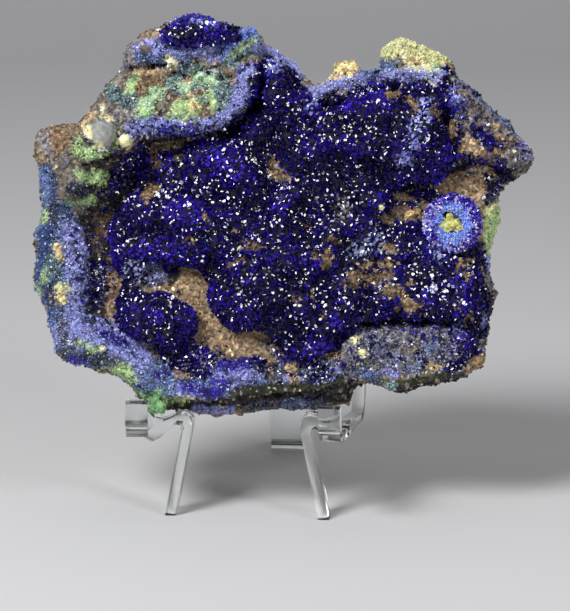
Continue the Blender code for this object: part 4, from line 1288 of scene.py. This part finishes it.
def press_grooves(rock):
    places, normals = vertex_places(rock), vertex_normals(rock)
    flat = in_stone(places)
    front = smooth_step(-1.0, 0.5, flat[:, 2])
    for radius, depth, path in GROOVES:
        press = 1.0 - smooth_step(0.0, radius, distance_to_path(flat, path))
        places -= normals * (press * front * depth * MM)[:, None]
    move_vertices(rock, places)


def build_rock():
    """The rock with its nodules, grooves and relief."""
    settings = bpy.context.scene.specimen_stone
    rock = join([copy_of_node("matrix", "host_rock"), *[add_nodule(*each) for each in NODULES]])
    reskin(rock, settings.rock_grain, rounds=4)
    flat = in_stone(vertex_places(rock))
    rough = 1.0 - 0.85 * on_smooth_places(flat)
    on_floor = 1.0 - smooth_step(0.3, 1.2, np.abs(flat[:, 2] - HOLLOW_FLOOR))
    calm = on_floor * smooth_step(0.6, 0.9, vertex_normals(rock) @ TOWARDS)
    weight(rock, "off the floor", rough * (1.0 - 0.85 * calm))
    weight(rock, "gritty", rough * (1.0 - 0.4 * calm))
    _, blue, green, _ = painted(flat)
    weight(rock, "coated", np.clip(blue + green, 0.0, 1.0) * (1.0 - calm) * rough)
    relief(rock, "CLOUDS", BREAK_LUMPS, settings.break_relief * 2, group="off the floor", depth=3)
    relief(rock, "VORONOI", KNOB_LUMPS, -settings.knob_relief, group="coated", middle=0.4)
    relief(rock, "CLOUDS", FINE_LUMPS, settings.fine_relief * 2, group="gritty", depth=1)
    press_grooves(rock)
    colour, blue, green, _ = painted(in_stone(vertex_places(rock)))
    rough = 1.0 - 0.85 * on_smooth_places(in_stone(vertex_places(rock)))
    under_coat = 1.0 - (0.6 * blue + 0.3 * green) * rough
    # painted shade in the pits and painted light on the crests, mostly left out on the smooth nodules
    wear_and_relief_shading = 1.0 + (np.clip(1.0 - 6.0 * sunken(rock), 0.25, 1.6) - 1.0) * rough
    set_paint(rock, colour * (under_coat * wear_and_relief_shading)[:, None], grainy=rough)
    return rock


def build_druse_ground():
    """The azurite cushions under the crystals, their edges rounded down to the rock."""
    settings = bpy.context.scene.specimen_stone
    ground = copy_of_node("azurite_crust", "azurite_cushions")
    flat = in_stone(vertex_places(ground))
    sink = 1.0 - smooth_step(HOLLOW_FLOOR + 0.32, HOLLOW_FLOOR + 0.5, flat[:, 2])
    move_vertices(ground, vertex_places(ground) - sink[:, None] * TOWARDS[None, :] * 0.7 * MM)
    reskin(ground, settings.druse_grain, rounds=14)
    places, normals = vertex_places(ground), vertex_normals(ground)
    flat = in_stone(places)
    under_ball = 1.0 - smooth_step(3.0, 3.7, ball_polar(flat)[2])
    raised = settings.swell * swell(flat) * (1.0 - under_ball) - 2.6 * MM * under_ball
    move_vertices(ground, places + normals * raised[:, None])
    relief(ground, "CLOUDS", KNOB_LUMPS, 0.7 * MM, depth=1)
    places = vertex_places(ground)
    flat = in_stone(places)
    bare = windows(flat)
    move_vertices(ground, places - vertex_normals(ground) * (bare * 0.35 * MM)[:, None])
    colours = palette()
    sandy = painted(flat, strokes=())[0] * 0.3 + colours["tan"] * 0.3 + colours["umber"] * 0.35
    # painted shade in the pits and painted light on the crests of the bare windows
    wear_and_relief_shading = np.clip(1.0 - 6.0 * sunken(ground), 0.3, 1.6)
    deep = np.tile(colours["azurite"], (len(flat), 1))
    set_paint(ground, deep + (sandy * wear_and_relief_shading[:, None] - deep) * bare[:, None])
    return ground


# ---------------------------------------------------------------- the crystals


def druse_colours(flat, random):
    """A colour for each druse crystal: painted shade in the clefts and painted light on the crests, with tone
    varied at random, and paler places.
    """
    colours = palette()
    count = len(flat)
    # the swell term is painted shade and light, darker in the clefts and brighter on the crests; the other
    # terms vary the tone at random
    shade = 1.1 * swell(flat) + 0.5 * wander(flat, 0.9, 14) + 0.3 * random.normal(size=count)
    crest_light_and_tone = 0.15 + 0.85 * smooth_step(-0.3, 0.95, shade)
    colour = colours["azurite"] + (colours["indigo"] - colours["azurite"])[None, :] * crest_light_and_tone[:, None]
    for finish, radius, path in PALE_PLACES:
        cover = brush(flat, radius, path, 0.5 * wander(flat, 0.7, 12), softness=0.6)
        cover *= random.random(count) < 0.7
        colour = colour + (colours[finish] * 0.9 - colour) * cover[:, None]
    return uneven(colour, 0.4, random)


def bright_places(flat, share):
    """The share of bright faces at each place, and their size."""
    shares, sizes = np.full(len(flat), share), np.full(len(flat), 0.46)
    for radius, more, size, path in BRIGHT_PLACES:
        cover = brush(flat, radius, path, 0.0, softness=0.3)
        shares += (more - shares) * cover
        sizes += (size - sizes) * cover
    seen = as_seen(flat)
    for u, v, size in BRIGHT_CRYSTALS:
        nearest = np.argmin(np.hypot(seen[:, 0] - u, seen[:, 1] - v))
        shares[nearest], sizes[nearest] = 1.0, size
    return shares, sizes


def grow_druse(rock, ground, cap):
    """The druse's crystals on its cushions, on the cap and on the rock's dark blue places."""
    settings = bpy.context.scene.specimen_crystals
    random = np.random.default_rng(settings.seed)

    def on_ground(flat, facing):
        off_ball = ball_polar(flat)[2] > BALL_RINGS[2][0] - 0.2
        return (1.0 - windows(flat)) * (flat[:, 2] > HOLLOW_FLOOR - 0.3) * off_ball

    def on_rock(flat, facing):
        colour, blue, _, _ = painted(flat)
        return (colour.sum(axis=1) < 0.3) * (blue > 0.5) * (flat[:, 2] > 0.0)

    def on_cap(flat, facing):
        return facing > -0.4

    beds = [
        spots(bed, settings.spacing, density, random)
        for bed, density in ((ground, on_ground), (rock, on_rock), (cap, on_cap))
    ]
    spot, normal, flat = (np.concatenate(parts) for parts in zip(*beds))
    count = len(spot)
    axes = turned_axes(normal, settings.lean, random)
    scales = sizes_of(count, settings.width, 1.0, random)
    scales[:, 2] = settings.length * np.exp(random.normal(0.0, 0.2, size=count))
    colour = druse_colours(flat, random)
    colours = palette()
    for finish, place in PALE_GRAINS:
        nearest = np.argmin(np.hypot(*(as_seen(flat) - np.array(place)).T))
        colour[nearest] = colours[finish] * 0.8
        scales[nearest] *= 1.5
    spot = rooted(spot, normal, settings.length)

    share, size = bright_places(flat, settings.sparkle)
    faceted = scales * np.column_stack((*[uneven(size[:, None], 0.33, random)] * 2, np.ones(count)))
    parallel = parallel_axes(spot, faceted, random)
    bright = (random.random(count) < share) & ((parallel[:, 2] * normal).sum(axis=1) > 0.4)
    dull = ~bright
    shapes = [model_crystal(name, *shape) for name, shape in CRYSTAL_SHAPES.items()]
    facet = model_crystal("facet", *FACET_SHAPE)
    finish = crystal_finish("azurite crystals", 0.1, 1.5, specular=0.27)
    plant_in_parts(
        "azurite_crystals", DRUSE_PARTS, shapes, spot[dull], axes[dull], scales[dull], colour[dull], finish
    )
    finish = crystal_finish("bright azurite", 0.06, 1.6, wear=0.4)
    plant_in_parts(
        "bright_azurite", WHOLE, [facet], spot[bright], parallel[bright], faceted[bright],
        colour[bright], finish,
    )
    discard([*shapes, facet])


def grow_coatings(rock, cover):
    """The fine pale azurite and malachite on the rims."""
    settings = bpy.context.scene.specimen_crystals
    random = np.random.default_rng(settings.seed + 1)
    grain = model_crystal("grain", *GRAIN_SHAPE)

    def coated(flat, facing):
        _, blue, green, _ = painted(flat)
        gaps = smooth_step(-0.45, -0.05, wander(flat, 0.5, 15)) * (1.0 - on_smooth_places(flat))
        return np.clip(blue + green, 0.0, 1.0) * gaps * smooth_step(-6.0, -3.0, flat[:, 2])

    spot, normal, flat = open_spots(rock, cover, settings.grain * 1.14, coated, random)
    axes = turned_axes(normal, settings.lean, random)
    stray = flat + random.normal(0.0, 0.35, size=flat.shape) * (1.0, 1.0, 0.0)
    colour, _, green, frost = painted(stray)
    velvety = np.maximum(green, smooth_step(0.6, 0.95, colour[:, 2]) * (1.0 - frost))
    scales = sizes_of(len(spot), settings.grain * 1.15, 0.9, random)
    scales[:, 2] *= 1.0 - 0.3 * velvety
    colours = palette()
    draw, passed = random.random(len(spot)), 0.0
    for finish, plain, frosted in MINGLED:
        share = plain * (1.0 - 0.7 * velvety) + (frosted - plain) * frost
        mine = (draw >= passed) & (draw < passed + share)
        colour[mine] = 0.25 * colour[mine] + 0.75 * colours[finish]
        passed = passed + share
    uneven_by = random.normal(0.08, 1.0, size=(len(spot), 1)) * (0.36 - 0.22 * velvety)[:, None]
    colour = colour * np.exp(uneven_by + 0.12 * velvety[:, None])
    spot = rooted(spot, normal, settings.grain)
    finish = crystal_finish("fine coatings", 0.25, 1.6)
    plant_in_parts("fine_coating", COATING_PARTS, [grain], spot, axes, scales, colour, finish)
    discard([grain])


def strew_azurite(rock, cover):
    """Scattered dark azurite on the bare and frosted places."""
    settings = bpy.context.scene.specimen_crystals
    random = np.random.default_rng(settings.seed + 3)
    shapes = [model_crystal(name, *shape) for name, shape in CRYSTAL_SHAPES.items()]

    def strewn(flat, facing):
        covers = [brush(flat, radius, path, 0.0, softness=0.9) for radius, path in STREWN_PLACES]
        here = np.max(covers, axis=0)
        clusters = smooth_step(-0.25, 0.35, wander(flat, 1.2, 13) + 0.4 * wander(flat, 0.5, 16))
        seen = smooth_step(-1.0, 1.0, flat[:, 2]) * smooth_step(0.0, 0.3, facing)
        green = painted(flat)[2]
        return (0.012 + 0.6 * here) * clusters * seen * (1.0 - on_smooth_places(flat)) * (1.0 - green)

    spot, normal, flat = open_spots(rock, cover, settings.grain * 1.5, strewn, random)
    axes = turned_axes(normal, settings.lean, random)
    scales = sizes_of(len(spot), settings.grain * 1.5, 1.0, random)
    spot = rooted(spot, normal, settings.grain)
    colours = palette()
    sooty = (random.random(len(spot)) < SOOTY_SHARE)[:, None]
    dull = uneven(np.tile(colours["slate"], (len(spot), 1)), 0.6, random)
    colour = np.where(sooty, dull, druse_colours(flat, random))
    finish = crystal_finish("strewn azurite", 0.08, 1.6)
    plant_in_parts("strewn_azurite", WHOLE, shapes, spot, axes, scales, colour, finish)
    discard(shapes)


def strew_crumbs(rock, ground):
    """The bare rock's crumbs, from dark brown to cream."""
    settings = bpy.context.scene.specimen_crystals
    random = np.random.default_rng(settings.seed + 4)
    crumb = model_crystal("crumb", *CRUMB_SHAPE)

    def on_rock(flat, facing):
        _, blue, green, _ = painted(flat)
        bare = np.clip(1.0 - blue - green, 0.0, 1.0)
        hidden = (ball_polar(flat)[2] < 3.0) | (on_smooth_places(flat) > 0.5)
        return bare * 0.8 * (0.04 + 0.96 * smooth_step(-3.0, -1.0, flat[:, 2])) * ~hidden

    def on_ground(flat, facing):
        return windows(flat) * (flat[:, 2] > HOLLOW_FLOOR - 0.3)

    beds = [
        open_spots(rock, ground, settings.crumb, on_rock, random),
        spots(ground, settings.crumb * 0.8, on_ground, random),
    ]
    spot, normal, flat = (np.concatenate(parts) for parts in zip(*beds))
    in_druse = np.arange(len(spot)) >= len(beds[0][0])
    axes = turned_axes(normal, settings.lean, random)
    scales = sizes_of(len(spot), settings.crumb, 0.8, random, spread=0.35)
    colours = palette()
    stone = painted(flat)[0]
    stone[in_druse] = 0.45 * colours["tan"] + 0.35 * colours["umber"]
    light = (stone.sum(axis=1) < 0.12) & (random.random(len(spot)) < 0.2)
    stone[light] = colours["corner"]
    creamy = (random.random(len(spot)) < CREAMY_SHARE)[:, None]
    colour = np.where(creamy, 0.4 * stone + 0.5 * colours["cream"], stone)
    spot = rooted(spot, normal, settings.crumb, share=0.25)
    colour = uneven(colour, 0.32, random)
    plant_in_parts("limonite_crumbs", WHOLE, [crumb], spot, axes, scales, colour, rock_finish())
    discard([crumb])


# ---------------------------------------------------------------- the ring ball


def ball_polar(flat):
    """Each place's (u, v) offset from the ball's middle, its angle and its distance."""
    across = flat[:, :2] - np.array(BALL_AT)
    return across, np.arctan2(across[:, 1], across[:, 0]), np.hypot(across[:, 0], across[:, 1])


def ring_edge(flat):
    """How far outside the pale ring each place is, below 0 inside it. The ring is ragged and upright."""
    across = flat[:, :2] - np.array(BALL_AT)
    return np.hypot(across[:, 0] / 2.35, across[:, 1] / 2.75) - 1.0 + 0.14 * wander(flat, 1.1, 24)


def ball_hole(flat):
    """The hole beside the ball's middle, sunk in and painted almost black as shade."""
    across = flat[:, :2] - np.array(BALL_AT)
    return 1.0 - smooth_step(0.6, 1.15, np.hypot((across[:, 0] + 0.75) / 0.95, (across[:, 1] - 1.2) / 0.62))


def build_ball():
    """The ring ball: a round cushion whose front is drawn in, ring by ring, to a sunken middle."""
    bpy.ops.object.select_all(action="DESELECT")
    radius, depth = BALL_RINGS[0]
    bpy.ops.mesh.primitive_circle_add(
        vertices=BALL_SPOKES, radius=radius * MM, fill_type="NOTHING", location=(0, 0, depth * MM)
    )
    ball = bpy.context.object
    ball.name = "ring_ball"
    keep_place_in_mesh(ball)
    bpy.ops.object.mode_set(mode="EDIT")
    bpy.ops.mesh.select_all(action="SELECT")
    for (radius, depth), (next_radius, next_depth) in zip(BALL_RINGS, BALL_RINGS[1:]):
        step = (0, 0, (next_depth - depth) * MM)
        bpy.ops.mesh.extrude_edges_move(TRANSFORM_OT_translate={"value": step})
        grow = next_radius / radius
        bpy.ops.transform.resize(value=(grow, grow, 1), center_override=(0, 0, next_depth * MM))
    bpy.ops.mesh.merge(type="CENTER")
    bpy.ops.mesh.select_all(action="SELECT")
    bpy.ops.mesh.normals_make_consistent(inside=False)
    # Extruding leaves edges and faces in a new order each time, and the needles' draws would follow it
    bpy.context.scene.cursor.location = (5.0 * MM, 2.0 * MM, MM)
    bpy.ops.mesh.sort_elements(type="CURSOR_DISTANCE", elements={"EDGE", "FACE"})
    bpy.ops.object.mode_set(mode="OBJECT")
    finer = ball.modifiers.new("Finer", "SUBSURF")
    finer.levels = finer.render_levels = 1
    apply_modifiers(ball)
    ball.rotation_euler.x = math.radians(90) - LEAN
    ball.location = in_world(*BALL_AT, 0.0)
    keep_place_in_mesh(ball)
    flat = in_stone(vertex_places(ball))
    _, angle, out = ball_polar(flat)
    spokes = np.column_stack((np.cos(angle) * 7.0, np.sin(angle) * 7.0, out * 0.8))
    fibres = wander(spokes, 1.0, 21) + 0.6 * wander(spokes * 2.3, 1.0, 22)
    hole = ball_hole(flat)
    raised = 0.18 * fibres + 0.25 * wander(flat, 1.2, 23) - 1.1 * hole
    move_vertices(ball, vertex_places(ball) + TOWARDS[None, :] * (raised * MM)[:, None])
    colours = palette()
    streak = smooth_step(-0.5, 0.6, fibres)[:, None]
    inside = 1.0 - smooth_step(-0.05, 0.12, ring_edge(flat))
    pale = colours["sky blue"] * (0.5 + 0.6 * streak)
    colour = colours["violet"] * (0.2 + 0.6 * streak)
    colour = colour + (pale - colour) * inside[:, None]
    # painted shade: round and under the yellow core the ball is a darker sky blue
    middle = 1.0 - smooth_step(1.2, 1.5, out)
    colour = colour + (colours["sky blue"] * 0.45 - colour) * middle[:, None]
    # painted shade: the sunken hole is painted almost black
    set_paint(ball, colour * (1.0 - 0.97 * hole)[:, None])
    return ball


def build_ball_core():
    """The yellow-green lump in the ball's middle."""
    core = join([
        add_nodule((BALL_AT[0] + u, BALL_AT[1] + v, depth), (across, high, 0.7))
        for u, v, depth, across, high in CORE_LOBES
    ])
    core.name = "ball_core"
    reskin(core, 0.12 * MM)
    relief(core, "CLOUDS", CORE_LUMPS, 0.6 * MM, depth=2)
    flat = in_stone(vertex_places(core))
    colours = palette()
    green = smooth_step(-0.3, 0.3, wander(flat, 0.7, 25))[:, None]
    colour = colours["straw"] + (colours["lime"] * 0.7 - colours["straw"]) * green * 0.7
    # painted shade in the core's pits and painted light on its crests
    wear_and_relief_shading = np.clip(1.0 - 8.0 * sunken(core), 0.3, 1.3)
    set_paint(core, colour * wear_and_relief_shading[:, None])
    return core


def grow_on_ball(ball):
    """A violet, white-tipped fringe round the ball and fine pale needles on its ring."""
    settings = bpy.context.scene.specimen_crystals
    random = np.random.default_rng(settings.seed + 2)
    colours = palette()
    needle = model_crystal("needle", *CRYSTAL_SHAPES["wedge"])

    def fringe(flat, facing):
        return smooth_step(-0.08, 0.1, ring_edge(flat))

    def ring(flat, facing):
        outside_core = smooth_step(1.2, 1.45, ball_polar(flat)[2])
        return outside_core * (1.0 - smooth_step(-0.05, 0.15, ring_edge(flat))) * (1.0 - ball_hole(flat))

    spot, normal, flat = spots(ball, 0.26 * MM, fringe, random)
    across, _, out = ball_polar(flat)
    axes = turned_axes(normal, settings.lean, random)
    scales = sizes_of(len(spot), 0.3 * MM, 1.5, random)
    # painted shade: towards its outer edge, most of all at the upper right, the fringe is darker and has
    # fewer white tips
    outer = smooth_step(2.6, 3.5, 0.35 * (across[:, 0] + across[:, 1]) + out)
    pale = wander(flat, 0.9, 26) + 0.7 * random.normal(size=len(spot)) + 0.35 - 1.2 * outer
    pale = smooth_step(-0.3, 0.9, pale)[:, None]
    colour = colours["violet"] * 0.9 + (colours["lavender"] - colours["violet"] * 0.9) * pale
    white = random.random(len(spot)) < 0.24 - 0.1 * outer
    colour[white] = colours["lilac"]
    colour = uneven(colour, 0.4, random)
    finish = crystal_finish("ball fringe", 0.1, 1.7)
    plant_in_parts("ball_fringe", WHOLE, [needle], spot, axes, scales, colour, finish)

    spot, normal, flat = spots(ball, 0.19 * MM, ring, random)
    axes = turned_axes(normal, settings.lean, random)
    scales = sizes_of(len(spot), 0.17 * MM, 1.3, random)
    sky = smooth_step(-0.6, 0.5, wander(flat, 1.0, 27) + 0.5 * random.normal(size=len(spot)))[:, None]
    colour = colours["lavender"] + (colours["sky blue"] * 1.2 - colours["lavender"]) * (0.4 + 0.55 * sky)
    white = random.random(len(spot)) < 0.08
    colour[white] = colours["pale blue"] * 0.5 + colours["pale stone"] * 0.8
    colour = uneven(colour, 0.35, random, 0.1)
    finish = crystal_finish("ball ring", 0.3, 1.6)
    plant_in_parts("ball_ring", WHOLE, [needle], spot, axes, scales, colour, finish)
    discard([needle])


class SPECIMEN_OT_rock(Operator):
    """Makes the rock"""

    bl_idname = "specimen.rock"
    bl_label = "Rock"

    def execute(self, context):
        dress(build_rock(), rock_finish(), ["matrix"])
        return {"FINISHED"}


class SPECIMEN_OT_cushions(Operator):
    """Makes the druse's cushions and the cap's ground"""

    bl_idname = "specimen.cushions"
    bl_label = "Cushions"

    def execute(self, context):
        finish = rock_finish()
        dress(build_druse_ground(), finish, ["azurite_crust"])
        cap = copy_of_node("azurite_cap", "azurite_cap_ground")
        set_paint(cap, np.tile(palette()["azurite"], (len(cap.data.vertices), 1)))
        dress(cap, finish, ["azurite_cap"])
        return {"FINISHED"}


class SPECIMEN_OT_crystals(Operator):
    """Grows the druse's crystals on the cushions, the cap and the rock"""

    bl_idname = "specimen.crystals"
    bl_label = "Crystals"

    def execute(self, context):
        beds = ("host_rock", "azurite_cushions", "azurite_cap_ground")
        grow_druse(*(bpy.data.objects[name] for name in beds))
        return {"FINISHED"}


class SPECIMEN_OT_coatings(Operator):
    """Grows the rims' fine coatings and strews crystals and crumbs over the bare rock"""

    bl_idname = "specimen.coatings"
    bl_label = "Coatings"

    def execute(self, context):
        rock = bpy.data.objects["host_rock"]
        cushions = bpy.data.objects["azurite_cushions"]
        grow_coatings(rock, cushions)
        strew_azurite(rock, cushions)
        strew_crumbs(rock, cushions)
        return {"FINISHED"}


class SPECIMEN_OT_ring_ball(Operator):
    """Makes the broken azurite ball with its ring and yellow middle"""

    bl_idname = "specimen.ring_ball"
    bl_label = "Ring ball"

    def execute(self, context):
        ball = build_ball()
        grow_on_ball(ball)
        dress(ball, crystal_finish("ball fibres", 0.35, 1.6))
        dress(build_ball_core(), rock_finish())
        return {"FINISHED"}


class SPECIMEN_OT_easel(Operator):
    """Gives the easel soft edges and clear plastic"""

    bl_idname = "specimen.easel"
    bl_label = "Easel"

    def execute(self, context):
        settings = context.scene.specimen_easel
        easel = copy_of_node("clear_easel", "acrylic_easel")
        edge = easel.modifiers.new("Edge", "BEVEL")
        edge.width = settings.edge
        edge.segments = 2
        edge.limit_method = "ANGLE"
        edge.angle_limit = math.radians(40)
        apply_modifiers(easel)
        select_only(easel)
        bpy.ops.object.shade_smooth_by_angle(angle=math.radians(35))
        dress(easel, acrylic_finish(), ["clear_easel"])
        return {"FINISHED"}


class SPECIMEN_OT_stage(Operator):
    """Makes the floor, the lights and the camera"""

    bl_idname = "specimen.stage"
    bl_label = "Stage"

    def add_light(self, name, place, aim, size, power):
        bpy.ops.object.light_add(type="AREA", location=place)
        light = bpy.context.object
        light.name = name
        light.data.shape = "SQUARE"
        light.data.size = size
        light.data.energy = power
        light.rotation_euler = (Vector(place) - aim).to_track_quat("Z", "Y").to_euler()

    def execute(self, context):
        settings = context.scene.specimen_stage
        bpy.ops.object.select_all(action="DESELECT")
        size = settings.floor_size
        bpy.ops.mesh.primitive_plane_add(size=size, location=(0, 0, 0))
        floor = context.object
        floor.name = "studio_floor"
        bpy.ops.object.mode_set(mode="EDIT")
        bpy.ops.mesh.select_mode(type="VERT")
        bpy.ops.mesh.select_all(action="DESELECT")
        bpy.ops.object.mode_set(mode="OBJECT")
        for vertex in floor.data.vertices:
            vertex.select = vertex.co.y > 0.0
        bpy.ops.object.mode_set(mode="EDIT")
        bpy.ops.mesh.extrude_edges_move(TRANSFORM_OT_translate={"value": (0, 0, size * 0.7)})
        bpy.ops.object.mode_set(mode="OBJECT")
        cove = floor.modifiers.new("Cove", "BEVEL")
        cove.width = size * 0.22
        cove.segments = 12
        apply_modifiers(floor)
        bpy.ops.object.shade_smooth()
        floor.data.materials.append(plain_finish("pale floor", settings.floor_colour, 0.9))

        target = in_world(*VIEW_MIDDLE, HOLLOW_FLOOR)
        middle = in_world(*STONE_MIDDLE)
        for name, place in LIGHT_PLACES.items():
            self.add_light(name, place, middle, LIGHT_WIDTHS[name], getattr(settings, name + "_power"))
        world = bpy.data.worlds.new("studio air")
        context.scene.world = world
        world.use_nodes = True
        world.node_tree.nodes["Background"].inputs["Color"].default_value = (0.9, 0.93, 1.0, 1.0)
        world.node_tree.nodes["Background"].inputs["Strength"].default_value = 0.06

        towards = Vector((0.0, -math.cos(settings.elevation), math.sin(settings.elevation)))
        bpy.ops.object.camera_add(location=target + towards * settings.distance)
        camera = context.object
        camera.rotation_euler = towards.to_track_quat("Z", "Y").to_euler()
        camera.data.lens = settings.lens
        camera.data.sensor_width = 36.0
        camera.data.clip_start = 0.01
        context.scene.camera = camera
        context.scene.view_settings.view_transform = "Standard"
        return {"FINISHED"}


class SPECIMEN_PT_panel(Panel):
    """Lists the specimen's pieces"""

    bl_idname = "SPECIMEN_PT_panel"
    bl_label = "Azurite Specimen"
    bl_space_type = "VIEW_3D"
    bl_region_type = "UI"
    bl_category = "Specimen"

    def draw(self, context):
        for operator in OPERATORS:
            self.layout.operator(operator.bl_idname)


SETTINGS = {
    "specimen_palette": PaletteSettings,
    "specimen_stone": StoneSettings,
    "specimen_crystals": CrystalSettings,
    "specimen_easel": EaselSettings,
    "specimen_stage": StageSettings,
}
OPERATORS = (
    SPECIMEN_OT_stage,
    SPECIMEN_OT_easel,
    SPECIMEN_OT_rock,
    SPECIMEN_OT_cushions,
    SPECIMEN_OT_crystals,
    SPECIMEN_OT_coatings,
    SPECIMEN_OT_ring_ball,
)


def register():
    for name, settings in SETTINGS.items():
        bpy.utils.register_class(settings)
        setattr(bpy.types.Scene, name, PointerProperty(type=settings))
    for each in (*OPERATORS, SPECIMEN_PT_panel):
        bpy.utils.register_class(each)


def unregister():
    for each in reversed((*OPERATORS, SPECIMEN_PT_panel)):
        bpy.utils.unregister_class(each)
    for name, settings in SETTINGS.items():
        delattr(bpy.types.Scene, name)
        bpy.utils.unregister_class(settings)


def main():
    register()
    bpy.ops.specimen.stage()
    bpy.ops.specimen.easel()
    bpy.ops.specimen.rock()
    bpy.ops.specimen.cushions()
    bpy.ops.specimen.crystals()
    bpy.ops.specimen.coatings()
    bpy.ops.specimen.ring_ball()


if __name__ == "__main__":
    main()
